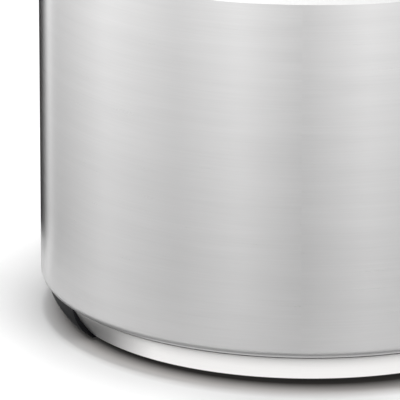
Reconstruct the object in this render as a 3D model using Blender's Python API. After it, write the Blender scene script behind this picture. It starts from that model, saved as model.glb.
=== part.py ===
"""Jar-type electric rice cooker: steel drum, black base, white top, hinged lid.

Lengths below are millimetres, and meshes are made in metres. +Z is up, the front
faces -Y, and the origin is on the drum's axis at floor level.
"""

import math

import bmesh
import bpy
from mathutils import Matrix, Vector

MM = 0.001

# Driving dimensions
DRUM_R = 135.0            # outside of the steel drum
DRUM_WALL = 1.0
DRUM_BOTTOM = 21.6        # where the drum starts to turn in above the base
DRUM_TOP = 226.0
LIP_R, LIP_Z = 132.2, 17.3
BASE_Z = 1.7              # underside of the base
BASE_R = 125.6            # widest at the bottom edge of the base
TRIM_Z = 3.0              # lower edge of the metal trim on the base
TRIM_R = 122.1
TRIM_HALF_ANGLE = 61.0
TRIM_CORNER = 5.0
WHITE_R = 135.5           # collar and lid
COLLAR_TOP = 245.6
FASCIA_R = 135.4
FASCIA_WALL = 1.9
FASCIA_BOTTOM = 197.5
FASCIA_TOP = 243.5
FASCIA_HALF_ANGLE = 38.0
LID_BOTTOM = 246.4
LID_TOP = 278.0
LID_WALL = 2.2
TOP_PLATE_R = 96.0
POT_R = 109.0             # inside of the cooking pot
POT_WALL = 1.8
POT_BOTTOM = 92.4
POT_RIM = 242.0
LINER_R = 113.5
PLATE_TOP = 92.0
HINGE_Y, HINGE_Z = 136.8, 251.2
KNUCKLE_R = 4.6
HANDLE_Z = 236.0
HANDLE_X, HANDLE_Y = 145.75, 147.0
HANDLE_POWER = 2.3        # of the superellipse that the handle follows
VENT_Y = 58.0
LATCH_Y, LATCH_PIN_Z = -128.6, 241.6
BOARD_Y = -120.2          # front face of the control board
FLOOR_TOP = 4.7           # inside of the base's floor
CHASSIS_Z = 26.4
SCREW_CIRCLE, SCREW_FROM = 100.0, 20.0    # circle that the screws stand on, first one's angle
FOOT_CIRCLE, FOOT_FROM = 98.0, 45.0
FOOT_R = 9.0
ELEMENT_CIRCLE, ELEMENT_Z, ELEMENT_R = 55.0, 73.8, 3.6
GAP = 0.3

OUTER_SEGMENTS = 48
INNER_SEGMENTS = 32
SMALL_SEGMENTS = 12

# Buttons on the fascia: name, azimuth from the front in degrees, height of the middle,
# and the cap's width and height
BUTTONS = (
    ("button_menu", -21.0, 229.0, 17.0, 8.0),
    ("button_timer", -21.0, 213.0, 17.0, 8.0),
    ("button_hour", -6.0, 205.0, 11.0, 5.5),
    ("button_minute", 6.0, 205.0, 11.0, 5.5),
    ("button_warm", 21.0, 213.0, 17.0, 8.0),
    ("button_start", 21.0, 229.0, 17.0, 8.0),
)
BUTTON_PROUD = 1.0
BUTTON_GAP = 0.35
STEM_HALF = 2.0
STEM_REST_GAP = 1.0       # from a stem to the board while the button is out
RELEASE_HALF_X = 22.0
WINDOW_HALF_X, WINDOW_LOW, WINDOW_HIGH = 30.0, 212.0, 231.0

FINISHES = {
    "brushed_steel": ((0.62, 0.61, 0.60), 0.32, 1.0),
    "satin_metal": ((0.80, 0.80, 0.80), 0.25, 1.0),
    "black_plastic": ((0.015, 0.015, 0.016), 0.35, 0.0),
    "white_plastic": ((0.90, 0.90, 0.89), 0.18, 0.0),
    "grey_plastic": ((0.32, 0.33, 0.34), 0.4, 0.0),
    "smoked_window": ((0.03, 0.03, 0.035), 0.1, 0.0),
    "display_glass": ((0.42, 0.46, 0.40), 0.2, 0.0),
    "circuit_board": ((0.03, 0.22, 0.09), 0.5, 0.0),
    "zinc_sheet": ((0.66, 0.67, 0.68), 0.42, 1.0),
    "cast_aluminium": ((0.70, 0.70, 0.69), 0.45, 1.0),
    "dark_steel": ((0.22, 0.21, 0.20), 0.4, 1.0),
    "spring_steel": ((0.55, 0.55, 0.55), 0.3, 1.0),
    "non_stick": ((0.05, 0.05, 0.05), 0.45, 0.2),
    "silicone": ((0.70, 0.71, 0.72), 0.6, 0.0),
    "rubber": ((0.03, 0.03, 0.03), 0.8, 0.0),
    "clear_cup": ((0.75, 0.77, 0.78), 0.2, 0.0),
}


# Materials and mesh helpers

def finish(name):
    """Return the Principled material of a named finish, made once."""
    material = bpy.data.materials.get(name)
    if material:
        return material
    colour, roughness, metallic = FINISHES[name]
    material = bpy.data.materials.new(name)
    material.use_nodes = True
    shader = material.node_tree.nodes["Principled BSDF"]
    shader.inputs["Base Color"].default_value = (*colour, 1.0)
    shader.inputs["Roughness"].default_value = roughness
    shader.inputs["Metallic"].default_value = metallic
    return material


def make_object(name, bm, look=None):
    """Turn a bmesh in millimetres into a smooth-shaded object; no look makes a cutter."""
    bmesh.ops.scale(bm, vec=(MM, MM, MM), verts=bm.verts)
    bmesh.ops.recalc_face_normals(bm, faces=bm.faces)
    mesh = bpy.data.meshes.new(name)
    bm.to_mesh(mesh)
    bm.free()
    mesh.shade_smooth()
    mesh.set_sharp_from_angle(angle=math.radians(32))
    piece = bpy.data.objects.new(name, mesh)
    bpy.context.scene.collection.objects.link(piece)
    if look:
        mesh.materials.append(finish(look))
    else:
        piece.hide_render = True
        piece.display_type = "WIRE"
    return piece


def loft(name, sections, look=None, closed=False):
    """Skin a row of closed sections with the same number of points."""
    bm = bmesh.new()
    rings = [[bm.verts.new(point) for point in section] for section in sections]
    pairs = list(zip(rings, rings[1:]))
    if closed:
        pairs.append((rings[-1], rings[0]))
    else:
        bm.faces.new(rings[0])
        bm.faces.new(rings[-1])
    for first, second in pairs:
        for i in range(len(first)):
            j = (i + 1) % len(first)
            bm.faces.new((first[i], first[j], second[j], second[i]))
    return make_object(name, bm, look)


def turned(name, profile, look=None, segments=OUTER_SEGMENTS):
    """Spin a closed (radius, height) profile about Z; points at radius 0 meet on the axis."""
    bm = bmesh.new()
    points = [bm.verts.new((radius, 0.0, height)) for radius, height in profile]
    edges = []
    for i, point in enumerate(points):
        following = points[(i + 1) % len(points)]
        if point.co.x > 0 or following.co.x > 0:
            edges.append(bm.edges.new((point, following)))
    bmesh.ops.spin(bm, geom=points + edges, cent=(0, 0, 0), axis=(0, 0, 1),
                   angle=2 * math.pi, steps=segments)
    bmesh.ops.remove_doubles(bm, verts=bm.verts, dist=0.001)
    return make_object(name, bm, look)


def pin(name, shoulders, look, segments=SMALL_SEGMENTS):
    """Turn a solid pin from (radius, height) shoulders, lowest first."""
    profile = [(0.0, shoulders[0][1]), *shoulders, (0.0, shoulders[-1][1])]
    return turned(name, profile, look, segments)


def prism(name, outline, low, high, look=None):
    """Extrude a (y, z) outline along X from low to high."""
    return loft(name, [[(x, y, z) for y, z in outline] for x in (low, high)], look)


def block(name, low, high, look=None, bevel=0.0):
    """Make a box between two corners, with its edges bevelled if asked."""
    bm = bmesh.new()
    bmesh.ops.create_cube(bm, size=1.0)
    size = [b - a for a, b in zip(low, high)]
    centre = [(a + b) / 2 for a, b in zip(low, high)]
    bmesh.ops.scale(bm, vec=size, verts=bm.verts)
    bmesh.ops.translate(bm, vec=centre, verts=bm.verts)
    if bevel:
        bmesh.ops.bevel(bm, geom=bm.edges, offset=bevel, segments=1, affect="EDGES")
    return make_object(name, bm, look)


def several(name, builder, items):
    """Join the meshes that builder(bm, item) adds into one object, used with a Boolean."""
    bm = bmesh.new()
    for item in items:
        builder(bm, item)
    return make_object(name, bm)


def add_cylinder(bm, item):
    """Add a vertical cylinder given as (x, y, radius, low, high) to a bmesh."""
    x, y, radius, low, high = item
    place = Matrix.Translation((x, y, (low + high) / 2))
    bmesh.ops.create_cone(bm, cap_ends=True, segments=SMALL_SEGMENTS, radius1=radius,
                          radius2=radius, depth=high - low, matrix=place)


def add_radial_box(bm, item):
    """Add a box facing outward at an azimuth: (azimuth, half width, r0, r1, low, high)."""
    azimuth, half, r0, r1, low, high = item
    shape = (Matrix.Rotation(math.radians(azimuth), 4, "Z")
             @ Matrix.Translation((0, -(r0 + r1) / 2, (low + high) / 2))
             @ Matrix.Diagonal((2 * half, r1 - r0, high - low, 1)))
    bmesh.ops.create_cube(bm, size=1.0, matrix=shape)


def boolean(target, other, operation="DIFFERENCE"):
    """Cut a hidden shape out of a piece, or join it on with UNION."""
    modifier = target.modifiers.new(f"{operation.lower()}_{other.name}", "BOOLEAN")
    modifier.operation = operation
    modifier.solver = "EXACT"
    modifier.object = other


def at_azimuth(radius, azimuth, height):
    """Point on a cylinder at an azimuth in degrees from the front, clockwise positive."""
    angle = math.radians(azimuth)
    return (radius * math.sin(angle), -radius * math.cos(angle), height)


def steps(low, high, count):
    """Evenly spaced values from low to high."""
    return [low + (high - low) * i / count for i in range(count + 1)]


def tube(name, path, radius, look, sides=6):
    """Sweep a round section along a list of points."""
    sections = []
    side = None
    for i, point in enumerate(path):
        ahead = Vector(path[min(i + 1, len(path) - 1)])
        behind = Vector(path[max(i - 1, 0)])
        along = (ahead - behind).normalized()
        seed = side if side else (Vector((0, 0, 1)) if abs(along.z) < 0.9 else Vector((1, 0, 0)))
        side = (seed - along * seed.dot(along)).normalized()
        other = along.cross(side)
        ring = []
        for k in range(sides):
            turn = 2 * math.pi * k / sides
            ring.append(Vector(point) + radius * (math.cos(turn) * side + math.sin(turn) * other))
        sections.append(ring)
    return loft(name, sections, look)


def coil(name, radius, wire, turns, length, look, per_turn=12):
    """Make a helical spring about Z from height 0 to its length."""
    count = int(turns * per_turn)
    path = []
    for i in range(count + 1):
        turn = 2 * math.pi * i / per_turn
        height = wire + (length - 2 * wire) * i / count
        path.append((radius * math.cos(turn), radius * math.sin(turn), height))
    return tube(name, path, wire, look, sides=5)


def stand(piece, location=(0, 0, 0), rotation=(0, 0, 0)):
    """Place a piece by its location in millimetres and its rotation in degrees."""
    piece.location = [value * MM for value in location]
    piece.rotation_euler = [math.radians(value) for value in rotation]
    return piece


def lay_along_x(piece, x, y, z):
    """Turn a piece made about Z so that its axis runs along +X from a point."""
    return stand(piece, (x, y, z), (0, 90, 0))


# Base

def base_outline(count=5):
    """Points up the outside of the base, bottom edge first."""
    low = (BASE_R, BASE_Z + 2.0)
    high = (LIP_R - 0.4, LIP_Z - 0.5)
    points = []
    for t in steps(0.0, 1.0, count):
        bulge = 1.0 * 4 * t * (1 - t)
        points.append((low[0] + (high[0] - low[0]) * t + bulge,
                       low[1] + (high[1] - low[1]) * t - 0.4 * bulge))
    return points


def trim_point(azimuth, t, depth):
    """Point on the trim: t runs 0 to 1 up its face, depth is measured inward."""
    height = TRIM_Z + (LIP_Z - 0.7 - TRIM_Z) * t
    radius = TRIM_R + (LIP_R - 1.0 - TRIM_R) * t + 0.5 * 4 * t * (1 - t) - depth
    return at_azimuth(radius, azimuth, height)


def trim_start(azimuth, grow):
    """Height parameter where the trim begins, raised round its lower corners."""
    height = LIP_Z - 0.7 - TRIM_Z
    from_end = math.radians(TRIM_HALF_ANGLE - abs(azimuth)) * TRIM_R + grow
    lift = 0.0
    if from_end < TRIM_CORNER:
        lift = TRIM_CORNER - math.sqrt(max(0.0, TRIM_CORNER ** 2 - (TRIM_CORNER - from_end) ** 2))
    return (lift - grow) / height


def trim_shell(name, grow, inner, outer, top, look=None):
    """Curved panel of the base trim, grown at its edges by a margin."""
    reach = TRIM_HALF_ANGLE + math.degrees(grow / TRIM_R)
    corner = math.degrees(TRIM_CORNER / TRIM_R)
    azimuths = [-reach + corner * t for t in (0.0, 0.08, 0.3, 0.6, 1.0)]
    middle = steps(-reach + corner, reach - corner, 20)[1:-1]
    azimuths = azimuths + middle + [-a for a in reversed(azimuths)]
    sections = []
    for azimuth in azimuths:
        rows = steps(trim_start(azimuth, grow), top, 4)
        face = [trim_point(azimuth, t, outer) for t in rows]
        back = [trim_point(azimuth, t, inner) for t in reversed(rows)]
        sections.append(face + back)
    return loft(name, sections, look)


def four_places(radius, first):
    """Four (x, y) points on a circle, a quarter turn apart, from a first angle in degrees."""
    angles = [math.radians(first + 90 * i) for i in range(4)]
    return [(radius * math.cos(a), radius * math.sin(a)) for a in angles]


SCREW_PLACES = four_places(SCREW_CIRCLE, SCREW_FROM)
FOOT_PLACES = four_places(FOOT_CIRCLE, FOOT_FROM)
FOOT_NAMES = ("foot_rear_right", "foot_rear_left", "foot_front_left", "foot_front_right")
BOARD_POSTS = [(x, y) for x in (-52.0, 8.0) for y in (-34.0, 14.0)]


def make_base():
    """Base dish with its pillars, vents and foot pockets, plus trim, feet and screws."""
    outline = base_outline()
    inner = [(130.4, LIP_Z - 0.5), (130.4, 34.0), (127.6, 34.0), (127.6, 17.0), (121.0, 7.0),
             (118.0, FLOOR_TOP), (0.0, FLOOR_TOP), (0.0, BASE_Z)]
    base = turned("base_housing", [(BASE_R - 2.0, BASE_Z), (BASE_R - 0.6, BASE_Z + 0.6)]
                  + outline + inner, "black_plastic")
    pillars = [(x, y, 4.6, FLOOR_TOP - 1, CHASSIS_Z - GAP) for x, y in SCREW_PLACES]
    pillars += [(x, y, 3.0, FLOOR_TOP - 1, 11.7) for x, y in BOARD_POSTS]
    boolean(base, several("base_pillars", add_cylinder, pillars), "UNION")
    holes = [(x, y, 1.9, 0.0, CHASSIS_Z + 2) for x, y in SCREW_PLACES]
    boolean(base, several("base_screw_holes", add_cylinder, holes))
    pockets = [(x, y, 3.7, 0.0, 4.4) for x, y in SCREW_PLACES]
    pockets += [(x, y, FOOT_R + 0.4, 0.0, 3.7) for x, y in FOOT_PLACES]
    boolean(base, several("base_pockets", add_cylinder, pockets))
    vents = [(side, 26.0, 40 + 9 * i, 43.5 + 9 * i, 0.0, 6.0) for side in (0.0, 180.0)
             for i in range(4)]
    boolean(base, several("base_vents", add_radial_box, vents))
    boolean(base, trim_shell("trim_recess", GAP, 1.0 + GAP, -12.0, 1.1))
    trim_shell("base_front_trim", 0.0, 1.0, 0.0, 1.0, "satin_metal")
    for name, (x, y) in zip(FOOT_NAMES, FOOT_PLACES):
        foot = pin(name, [(FOOT_R - 1.0, 0.0), (FOOT_R, 0.8), (FOOT_R, 3.4)], "rubber")
        stand(foot, (x, y, 0))
    for i, (x, y) in enumerate(SCREW_PLACES):
        screw = pin(f"base_screw_{i + 1}", [(2.6, 2.1), (3.3, 2.6), (3.3, 4.1), (1.5, 4.1),
                                            (1.5, 29.5)], "dark_steel", 10)
        stand(screw, (x, y, 0))
    chassis = turned("chassis_ring", [(126.9, CHASSIS_Z), (126.9, CHASSIS_Z + 1.5),
                                      (84.0, CHASSIS_Z + 1.5), (84.0, CHASSIS_Z)], "zinc_sheet")
    boolean(chassis, several("chassis_holes", add_cylinder,
                             [(x, y, 1.9, CHASSIS_Z - 2, CHASSIS_Z + 4) for x, y in SCREW_PLACES]))
    turned("support_skirt", [(89.2, CHASSIS_Z + 1.9), (89.2, 69.6), (88.0, 69.6),
                             (88.0, CHASSIS_Z + 1.9)], "zinc_sheet", INNER_SEGMENTS)


# Drum, collar and fascia

def fascia_edge(azimuth):
    """Height of the fascia's lower edge: almost level, then sweeping up to its ends."""
    s = min(abs(azimuth) / FASCIA_HALF_ANGLE, 1.0)
    return FASCIA_BOTTOM - 2.4 * s ** 2 + (FASCIA_TOP - FASCIA_BOTTOM - 4.0 + 2.4) * s ** 7


def fascia_shell(name, grow, inner, outer, look=None):
    """Curved panel with the fascia's outline, grown at its edges by a margin."""
    reach = FASCIA_HALF_ANGLE
    azimuths = steps(-0.7 * reach, 0.7 * reach, 14)
    ends = [reach * t for t in (0.79, 0.86, 0.92, 0.965, 1.0)]
    azimuths = [-a for a in reversed(ends)] + azimuths + ends
    sections = []
    for azimuth in azimuths:
        sideways = math.degrees(grow / DRUM_R) * azimuth / reach
        low, high = fascia_edge(azimuth) - grow, FASCIA_TOP + grow
        sections.append([at_azimuth(outer, azimuth + sideways, low),
                         at_azimuth(outer, azimuth + sideways, high),
                         at_azimuth(inner, azimuth + sideways, high),
                         at_azimuth(inner, azimuth + sideways, low)])
    return loft(name, sections, look)


def make_drum():
    """Steel drum with its turned-in lower lip, open where the fascia and inlet sit."""
    inside = DRUM_R - DRUM_WALL
    drum = turned("outer_drum", [
        (LIP_R, LIP_Z), (133.6, LIP_Z + 1.2), (134.6, LIP_Z + 2.6), (DRUM_R, DRUM_BOTTOM),
        (DRUM_R, DRUM_TOP), (inside, DRUM_TOP), (inside, DRUM_BOTTOM + 0.3),
        (133.6, LIP_Z + 3.1), (132.7, LIP_Z + 1.9), (LIP_R - 0.9, LIP_Z + 0.5)],
        "brushed_steel")
    boolean(drum, fascia_shell("drum_notch", GAP, FASCIA_R - 6, FASCIA_R + 6))
    boolean(drum, block("inlet_hole", (20.6, 112, 38.6), (51.4, 140, 60.4)))


def make_collar():
    """White collar that seats on the drum, with the latch pocket and fascia recess."""
    collar = turned("upper_collar", [
        (WHITE_R, DRUM_TOP + 0.4), (WHITE_R, 243.9), (134.9, 245.1), (133.6, COLLAR_TOP),
        (124.4, COLLAR_TOP), (122.9, 244.4), (122.4, 238.4), (118.0, 238.4), (118.0, 235.6),
        (130.6, 235.6), (130.6, 214.0), (133.2, 214.0), (133.2, DRUM_TOP + 0.4)],
        "white_plastic")
    boolean(collar, fascia_shell("collar_recess", GAP, FASCIA_R - FASCIA_WALL - GAP, 142))
    deep = [[at_azimuth(r, a, z) for r, z in ((127.5, 199), (136, 199), (136, 235.4), (127.5, 235.4))]
            for a in steps(-33, 33, 8)]
    boolean(collar, loft("control_space", deep))
    half = RELEASE_HALF_X + 1.0
    boolean(collar, block("button_pocket", (-half, -138, 233.9), (half, -131.9, FASCIA_TOP + 0.1)))
    boolean(collar, block("hook_pocket", (-8, -134, 233.9), (8, -124.2, FASCIA_TOP + 0.1)))
    boolean(collar, block("spring_pocket", (10.8, -134, 236), (15.2, -124.2, 240.4)))
    boolean(collar, block("hook_slot", (-4.6, -133.1, 242.5), (4.6, -124.2, 247)))
    pin_hole = pin("latch_pin_hole", [(1.4, -10.4), (1.4, 10.4)], None, 10)
    boolean(collar, lay_along_x(pin_hole, 0, LATCH_Y, LATCH_PIN_Z))


def make_fascia():
    """Control fascia with its window, display, board and push buttons."""
    fascia = fascia_shell("control_fascia", 0.0, FASCIA_R - FASCIA_WALL, FASCIA_R, "white_plastic")
    holes = [(0.0, WINDOW_HALF_X + GAP, 125, 140, WINDOW_LOW - GAP, WINDOW_HIGH + GAP),
             (0.0, RELEASE_HALF_X + 0.4, 125, 140, 234.3, 246.0)]
    for _, azimuth, height, width, tall in BUTTONS:
        rise = tall / 2 + BUTTON_GAP
        holes.append((azimuth, width / 2 + BUTTON_GAP, 125, 140, height - rise, height + rise))
    boolean(fascia, several("fascia_holes", add_radial_box, holes))
    sections = []
    for x in steps(-WINDOW_HALF_X, WINDOW_HALF_X, 8):
        outer_y = -math.sqrt((FASCIA_R - 0.2) ** 2 - x * x)
        inner_y = -math.sqrt((FASCIA_R - FASCIA_WALL) ** 2 - x * x)
        sections.append([(x, outer_y, WINDOW_LOW), (x, outer_y, WINDOW_HIGH),
                         (x, inner_y, WINDOW_HIGH), (x, inner_y, WINDOW_LOW)])
    loft("display_window", sections, "smoked_window")
    block("display_module", (-28, -129.6, 213), (28, BOARD_Y - GAP, 230), "display_glass", 0.4)
    block("control_board", (-52, BOARD_Y, 202), (52, BOARD_Y + 1.6, 234), "circuit_board")
    for name, azimuth, height, width, tall in BUTTONS:
        make_button(name, azimuth, height, width, tall)


def make_button(name, azimuth, height, width, tall):
    """One fascia button: cap, retaining flange and a stem that reaches the board."""
    inside = FASCIA_R - FASCIA_WALL
    turn = math.radians(abs(azimuth))
    tip = (STEM_REST_GAP - BOARD_Y + STEM_HALF * math.sin(turn)) / math.cos(turn)
    cap = FASCIA_R + BUTTON_PROUD
    half, rise = width / 2, tall / 2
    rings = []
    for depth, w, h in ((cap, half - 0.6, rise - 0.6), (cap - 0.6, half, rise),
                        (inside - 0.6, half, rise), (inside - 0.6, half + 1.2, rise + 1.0),
                        (inside - 1.8, half + 1.2, rise + 1.0),
                        (inside - 1.8, STEM_HALF, STEM_HALF), (tip, STEM_HALF, STEM_HALF)):
        rings.append([(-w, -depth, -h), (w, -depth, -h), (w, -depth, h), (-w, -depth, h)])
    button = loft(name, rings, "grey_plastic")
    stand(button, (0, 0, height), (0, 0, azimuth))


# Cooking chamber

def make_chamber():
    """Liner, pot, heating plate and its element, side heater, and the sprung sensor."""
    turned("inner_liner", [
        (LINER_R + 1, 70.0), (LINER_R + 1, 238.7), (121.9, 238.7), (121.9, 239.8),
        (LINER_R, 239.8), (LINER_R, 71.2), (78.0, 71.2), (78.0, 70.0)],
        "zinc_sheet", INNER_SEGMENTS)
    outer = POT_R + POT_WALL
    turned("inner_pot", [
        (0, POT_BOTTOM), (88, POT_BOTTOM), (98, 93.2), (105.6, 97.2), (109.6, 103.6),
        (outer, 112), (outer, 240.4), (118.5, 240.4), (118.5, POT_RIM), (POT_R + 0.6, POT_RIM),
        (POT_R, 241.4), (POT_R, 112), (107.6, 104.4), (103.6, 98.6), (97, 95.4), (88, 94.8),
        (0, 94.8)], "non_stick", INNER_SEGMENTS)
    turned("heating_plate", [
        (84, 71.6), (84, 91.2), (83, PLATE_TOP), (20, PLATE_TOP), (19.2, 91.2), (19.2, 78.2),
        (80, 78.2), (80, 71.6)], "cast_aluminium", INNER_SEGMENTS)
    ring = [(ELEMENT_CIRCLE * math.cos(a), ELEMENT_CIRCLE * math.sin(a), ELEMENT_Z)
            for a in map(math.radians, steps(105, 435, 30))]
    tails = []
    for a in map(math.radians, (104, 76)):
        tails.append([((ELEMENT_CIRCLE - 3) * math.cos(a), (ELEMENT_CIRCLE - 3) * math.sin(a),
                       ELEMENT_Z - drop) for drop in (15, 9, 4)])
    tube("heating_element", tails[0] + ring + tails[1][::-1], ELEMENT_R, "dark_steel", 8)
    turned("side_heater_band", [(116.2, 120), (116.2, 150), (115.2, 150), (115.2, 120)],
           "cast_aluminium", INNER_SEGMENTS)
    make_sensor()
    fuse = pin("thermal_fuse", [(0.8, -14), (0.8, -8), (2.4, -8), (2.4, 8), (0.8, 8), (0.8, 14)],
               "spring_steel", 10)
    lay_along_x(fuse, 0, 34, 74.8)


def make_sensor():
    """Sprung temperature sensor in the middle of the heating plate."""
    outline = [(-86, 69.6), (-86, 68.2), (-74, 68.2), (-62, 60.4), (62, 60.4), (74, 68.2),
               (86, 68.2), (86, 69.6), (73.4, 69.6), (61.4, 61.8), (-61.4, 61.8), (-73.4, 69.6)]
    strap = loft("sensor_holder", [[(x, y, z) for x, z in outline] for y in (-9, 9)], "zinc_sheet")
    cup = turned("sensor_tube", [(14.6, 61.0), (14.6, 84), (13.1, 84), (13.1, 63.2), (0, 63.2),
                                 (0, 61.0)], None, 20)
    boolean(strap, cup, "UNION")
    cap = turned("sensor_cap", [(0, 0), (16.6, 0), (17.6, -1), (17.6, -12), (16.1, -12),
                                (16.1, -2.4), (0, -2.4)], "cast_aluminium", 20)
    stand(cap, (0, 0, PLATE_TOP))
    stand(coil("sensor_spring", 10.5, 0.6, 5, 25.4, "spring_steel", 10), (0, 0, 63.6))


def make_power():
    """Power board, its transformer and relay, and the mains inlet at the back."""
    block("power_board", (-58, -40, 12.0), (14, 20, 13.6), "circuit_board")
    block("power_transformer", (-52, -30, 13.9), (-18, 0, 38), "dark_steel", 1.0)
    block("power_relay", (-8, -28, 13.9), (10, -10, 30), "black_plastic", 0.8)
    inlet = block("power_inlet", (21, 118, 39), (51, 135.2, 60), "black_plastic")
    flange = block("inlet_flange", (17, 135.1, 35), (55, 137.4, 64), None, 0.6)
    boolean(inlet, flange, "UNION")
    boolean(inlet, block("inlet_cavity", (23.5, 121, 41.5), (48.5, 140, 57.5)))


# Lid

def dome(radius):
    """Height of the lid's top surface at a radius."""
    edge = 273.3
    return LID_TOP - (LID_TOP - edge) * (radius / (TOP_PLATE_R + 0.4)) ** 2


def make_lid():
    """Lid casing with a steel top plate, its frame, inner lid and gasket."""
    inner = WHITE_R - LID_WALL
    recess = [(TOP_PLATE_R + 0.4, dome(TOP_PLATE_R + 0.4) - 1.3)]
    recess += [(r, dome(r) - 1.3) for r in (62, 30)] + [(0, LID_TOP - 1.3)]
    under = [(0, LID_TOP - 3.6), (62, dome(62) - 3.6), (96, 269.7), (112, 267.4), (123, 263.4),
             (129.4, 259.4), (132.3, 255.4), (inner, 251.6), (inner, LID_BOTTOM)]
    lid = turned("lid_outer", [
        (WHITE_R, LID_BOTTOM), (WHITE_R, 252.6), (134.6, 257.2), (131.4, 261.8), (124.6, 266.2),
        (114.4, 270.0), (TOP_PLATE_R + 0.4, dome(TOP_PLATE_R + 0.4))] + recess + under,
        "white_plastic")
    boolean(lid, block("lid_hinge_notch", (-26.8, 130.6, 245), (26.8, 145, 256.6)))
    lug = lug_outline([(128.0, 257.6), (128.0, 254.4), (131.0, 250.0)])
    for side, low in (("right", 14.0), ("left", -19.6)):
        boolean(lid, prism(f"lid_lug_{side}", lug, low, low + 5.6), "UNION")
    vent = [(0, VENT_Y, 10.0, 260, 290)]
    boolean(lid, several("lid_vent_hole", add_cylinder, vent))
    boolean(lid, hinge_bore("lid_hinge_bore"))
    top = [(r, dome(r)) for r in (TOP_PLATE_R, 62, 30, 0)]
    bottom = [(r, dome(r) - 0.9) for r in (0, 30, 62, TOP_PLATE_R)]
    plate = turned("lid_top_plate", top + bottom, "brushed_steel")
    boolean(plate, several("plate_vent_hole", add_cylinder, vent))
    make_lid_inside()


def make_lid_inside():
    """Frame that closes the lid from below, inner lid, gasket and steam vent."""
    frame = turned("lid_frame", [(132.6, 246.8), (132.6, 249.0), (0, 249.0), (0, 246.8)],
                   "grey_plastic")
    boolean(frame, block("frame_hinge_notch", (-26.8, 130.4, 240), (26.8, 145, 256)))
    boolean(frame, block("frame_hook_notch", (-6, -140, 240), (6, -124.0, 256)))
    boolean(frame, several("frame_vent_hole", add_cylinder, [(0, VENT_Y, 6.0, 240, 256)]))
    inner_lid = turned("inner_lid", [
        (116, 243.8), (116, 244.6), (98, 244.6), (91, 246.2), (0, 246.2), (0, 245.4),
        (90.6, 245.4), (97.6, 243.8)], "brushed_steel", INNER_SEGMENTS)
    holes = [(x, VENT_Y, 2.2, 240, 250) for x in (-8, 0, 8)]
    boolean(inner_lid, several("inner_lid_holes", add_cylinder, holes))
    turned("lid_gasket", [(117.6, 242.4), (117.6, 243.5), (107, 243.5), (107, 242.9),
                          (112, 242.4)], "silicone", INNER_SEGMENTS)
    tube_piece = turned("steam_tube", [(8.6, 249.4), (8.6, 276.6), (6.8, 276.6), (6.8, 249.4)],
                        "silicone", 20)
    stand(tube_piece, (0, VENT_Y, 0))
    cap = pin("steam_vent_cap", [(6.0, 262), (6.0, 277.6), (15.0, 277.6), (15.6, 278.6),
                                 (15.0, 281.6), (13.0, 283.0)], "grey_plastic", 24)
    slots = [(a, 1.4, 6.5, 17.0, 278.6, 280.6) for a in (0, 60, 120, 180, 240, 300)]
    boolean(cap, several("vent_slots", add_radial_box, slots))
    stand(cap, (0, VENT_Y, 0))


# Hinge, latch and handle

def knuckle(first, last, count):
    """Points in (y, z) round the hinge axis, between two angles in degrees."""
    return [(HINGE_Y + KNUCKLE_R * math.cos(a), HINGE_Z + KNUCKLE_R * math.sin(a))
            for a in map(math.radians, steps(first, last, count))]


def lug_outline(tail):
    """Outline of a lid lug in (y, z): round about the hinge axis, with a tail."""
    return knuckle(-150, 140, 12) + tail


def hinge_bore(name):
    """Cutter for the hinge pin's holes."""
    return lay_along_x(pin(name, [(2.2, -30), (2.2, 30)], None, 12), 0, HINGE_Y, HINGE_Z)


def make_hinge():
    """Bracket on the collar's back, pin and torsion spring."""
    sections = [[at_azimuth(r, 180 + a, z) for r, z in ((135.9, 228.5), (139.4, 228.5),
                                                        (139.4, 247.0), (135.9, 247.0))]
                for a in steps(-13, 13, 8)]
    bracket = loft("hinge_bracket", sections, "white_plastic")
    lug = knuckle(0, 180, 9) + [
        (132.2, 250.0), (136.2, 246.2), (136.2, 240.0), (139.1, 240.0), (139.1, 246.5)]
    for side, low in (("right", 20.0), ("left", -25.8)):
        boolean(bracket, prism(f"bracket_lug_{side}", lug, low, low + 5.8), "UNION")
    boolean(bracket, hinge_bore("bracket_bore"))
    boolean(bracket, block("bracket_relief", (-19.9, 130, 245.9), (19.9, 145, 260)))
    pin_piece = pin("hinge_pin", [(1.8, -25.4), (1.8, 25.4)], "spring_steel", 12)
    lay_along_x(pin_piece, 0, HINGE_Y, HINGE_Z)
    spring = coil("hinge_spring", 2.9, 0.5, 6, 24.0, "spring_steel", 8)
    lay_along_x(spring, -12, HINGE_Y, HINGE_Z)


def make_latch():
    """Release button, the hook that it turns, the hook's pin and the return spring."""
    button = prism("release_button", [
        (-134.3, 243.0), (-143.0, 243.0), (-145.8, 241.6), (-147.0, 239.4), (-146.4, 236.8),
        (-143.6, 234.8), (-134.3, 234.8)], -RELEASE_HALF_X, RELEASE_HALF_X, "grey_plastic")
    tongue = block("button_tongue", (-7, -135, 234.8), (7, -130.9, 237.0))
    boolean(button, tongue, "UNION")
    hook = prism("latch_hook", [
        (-130.5, 235.2), (-127.2, 235.2), (-126.6, 242.0), (-126.6, 249.4), (-124.4, 249.4),
        (-124.4, 250.4), (-127.4, 251.8), (-129.4, 251.2), (-130.2, 246.0)],
        -4.0, 4.0, "dark_steel")
    bore = pin("hook_bore", [(1.3, -6), (1.3, 6)], None, 10)
    boolean(hook, lay_along_x(bore, 0, LATCH_Y, LATCH_PIN_Z))
    pin_piece = pin("latch_pin", [(1.0, -10.0), (1.0, 10.0)], "spring_steel", 10)
    lay_along_x(pin_piece, 0, LATCH_Y, LATCH_PIN_Z)
    spring = coil("latch_spring", 1.5, 0.35, 4, 9.2, "spring_steel", 8)
    stand(spring, (13, -133.9, 238.2), (-90, 0, 0))


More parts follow.
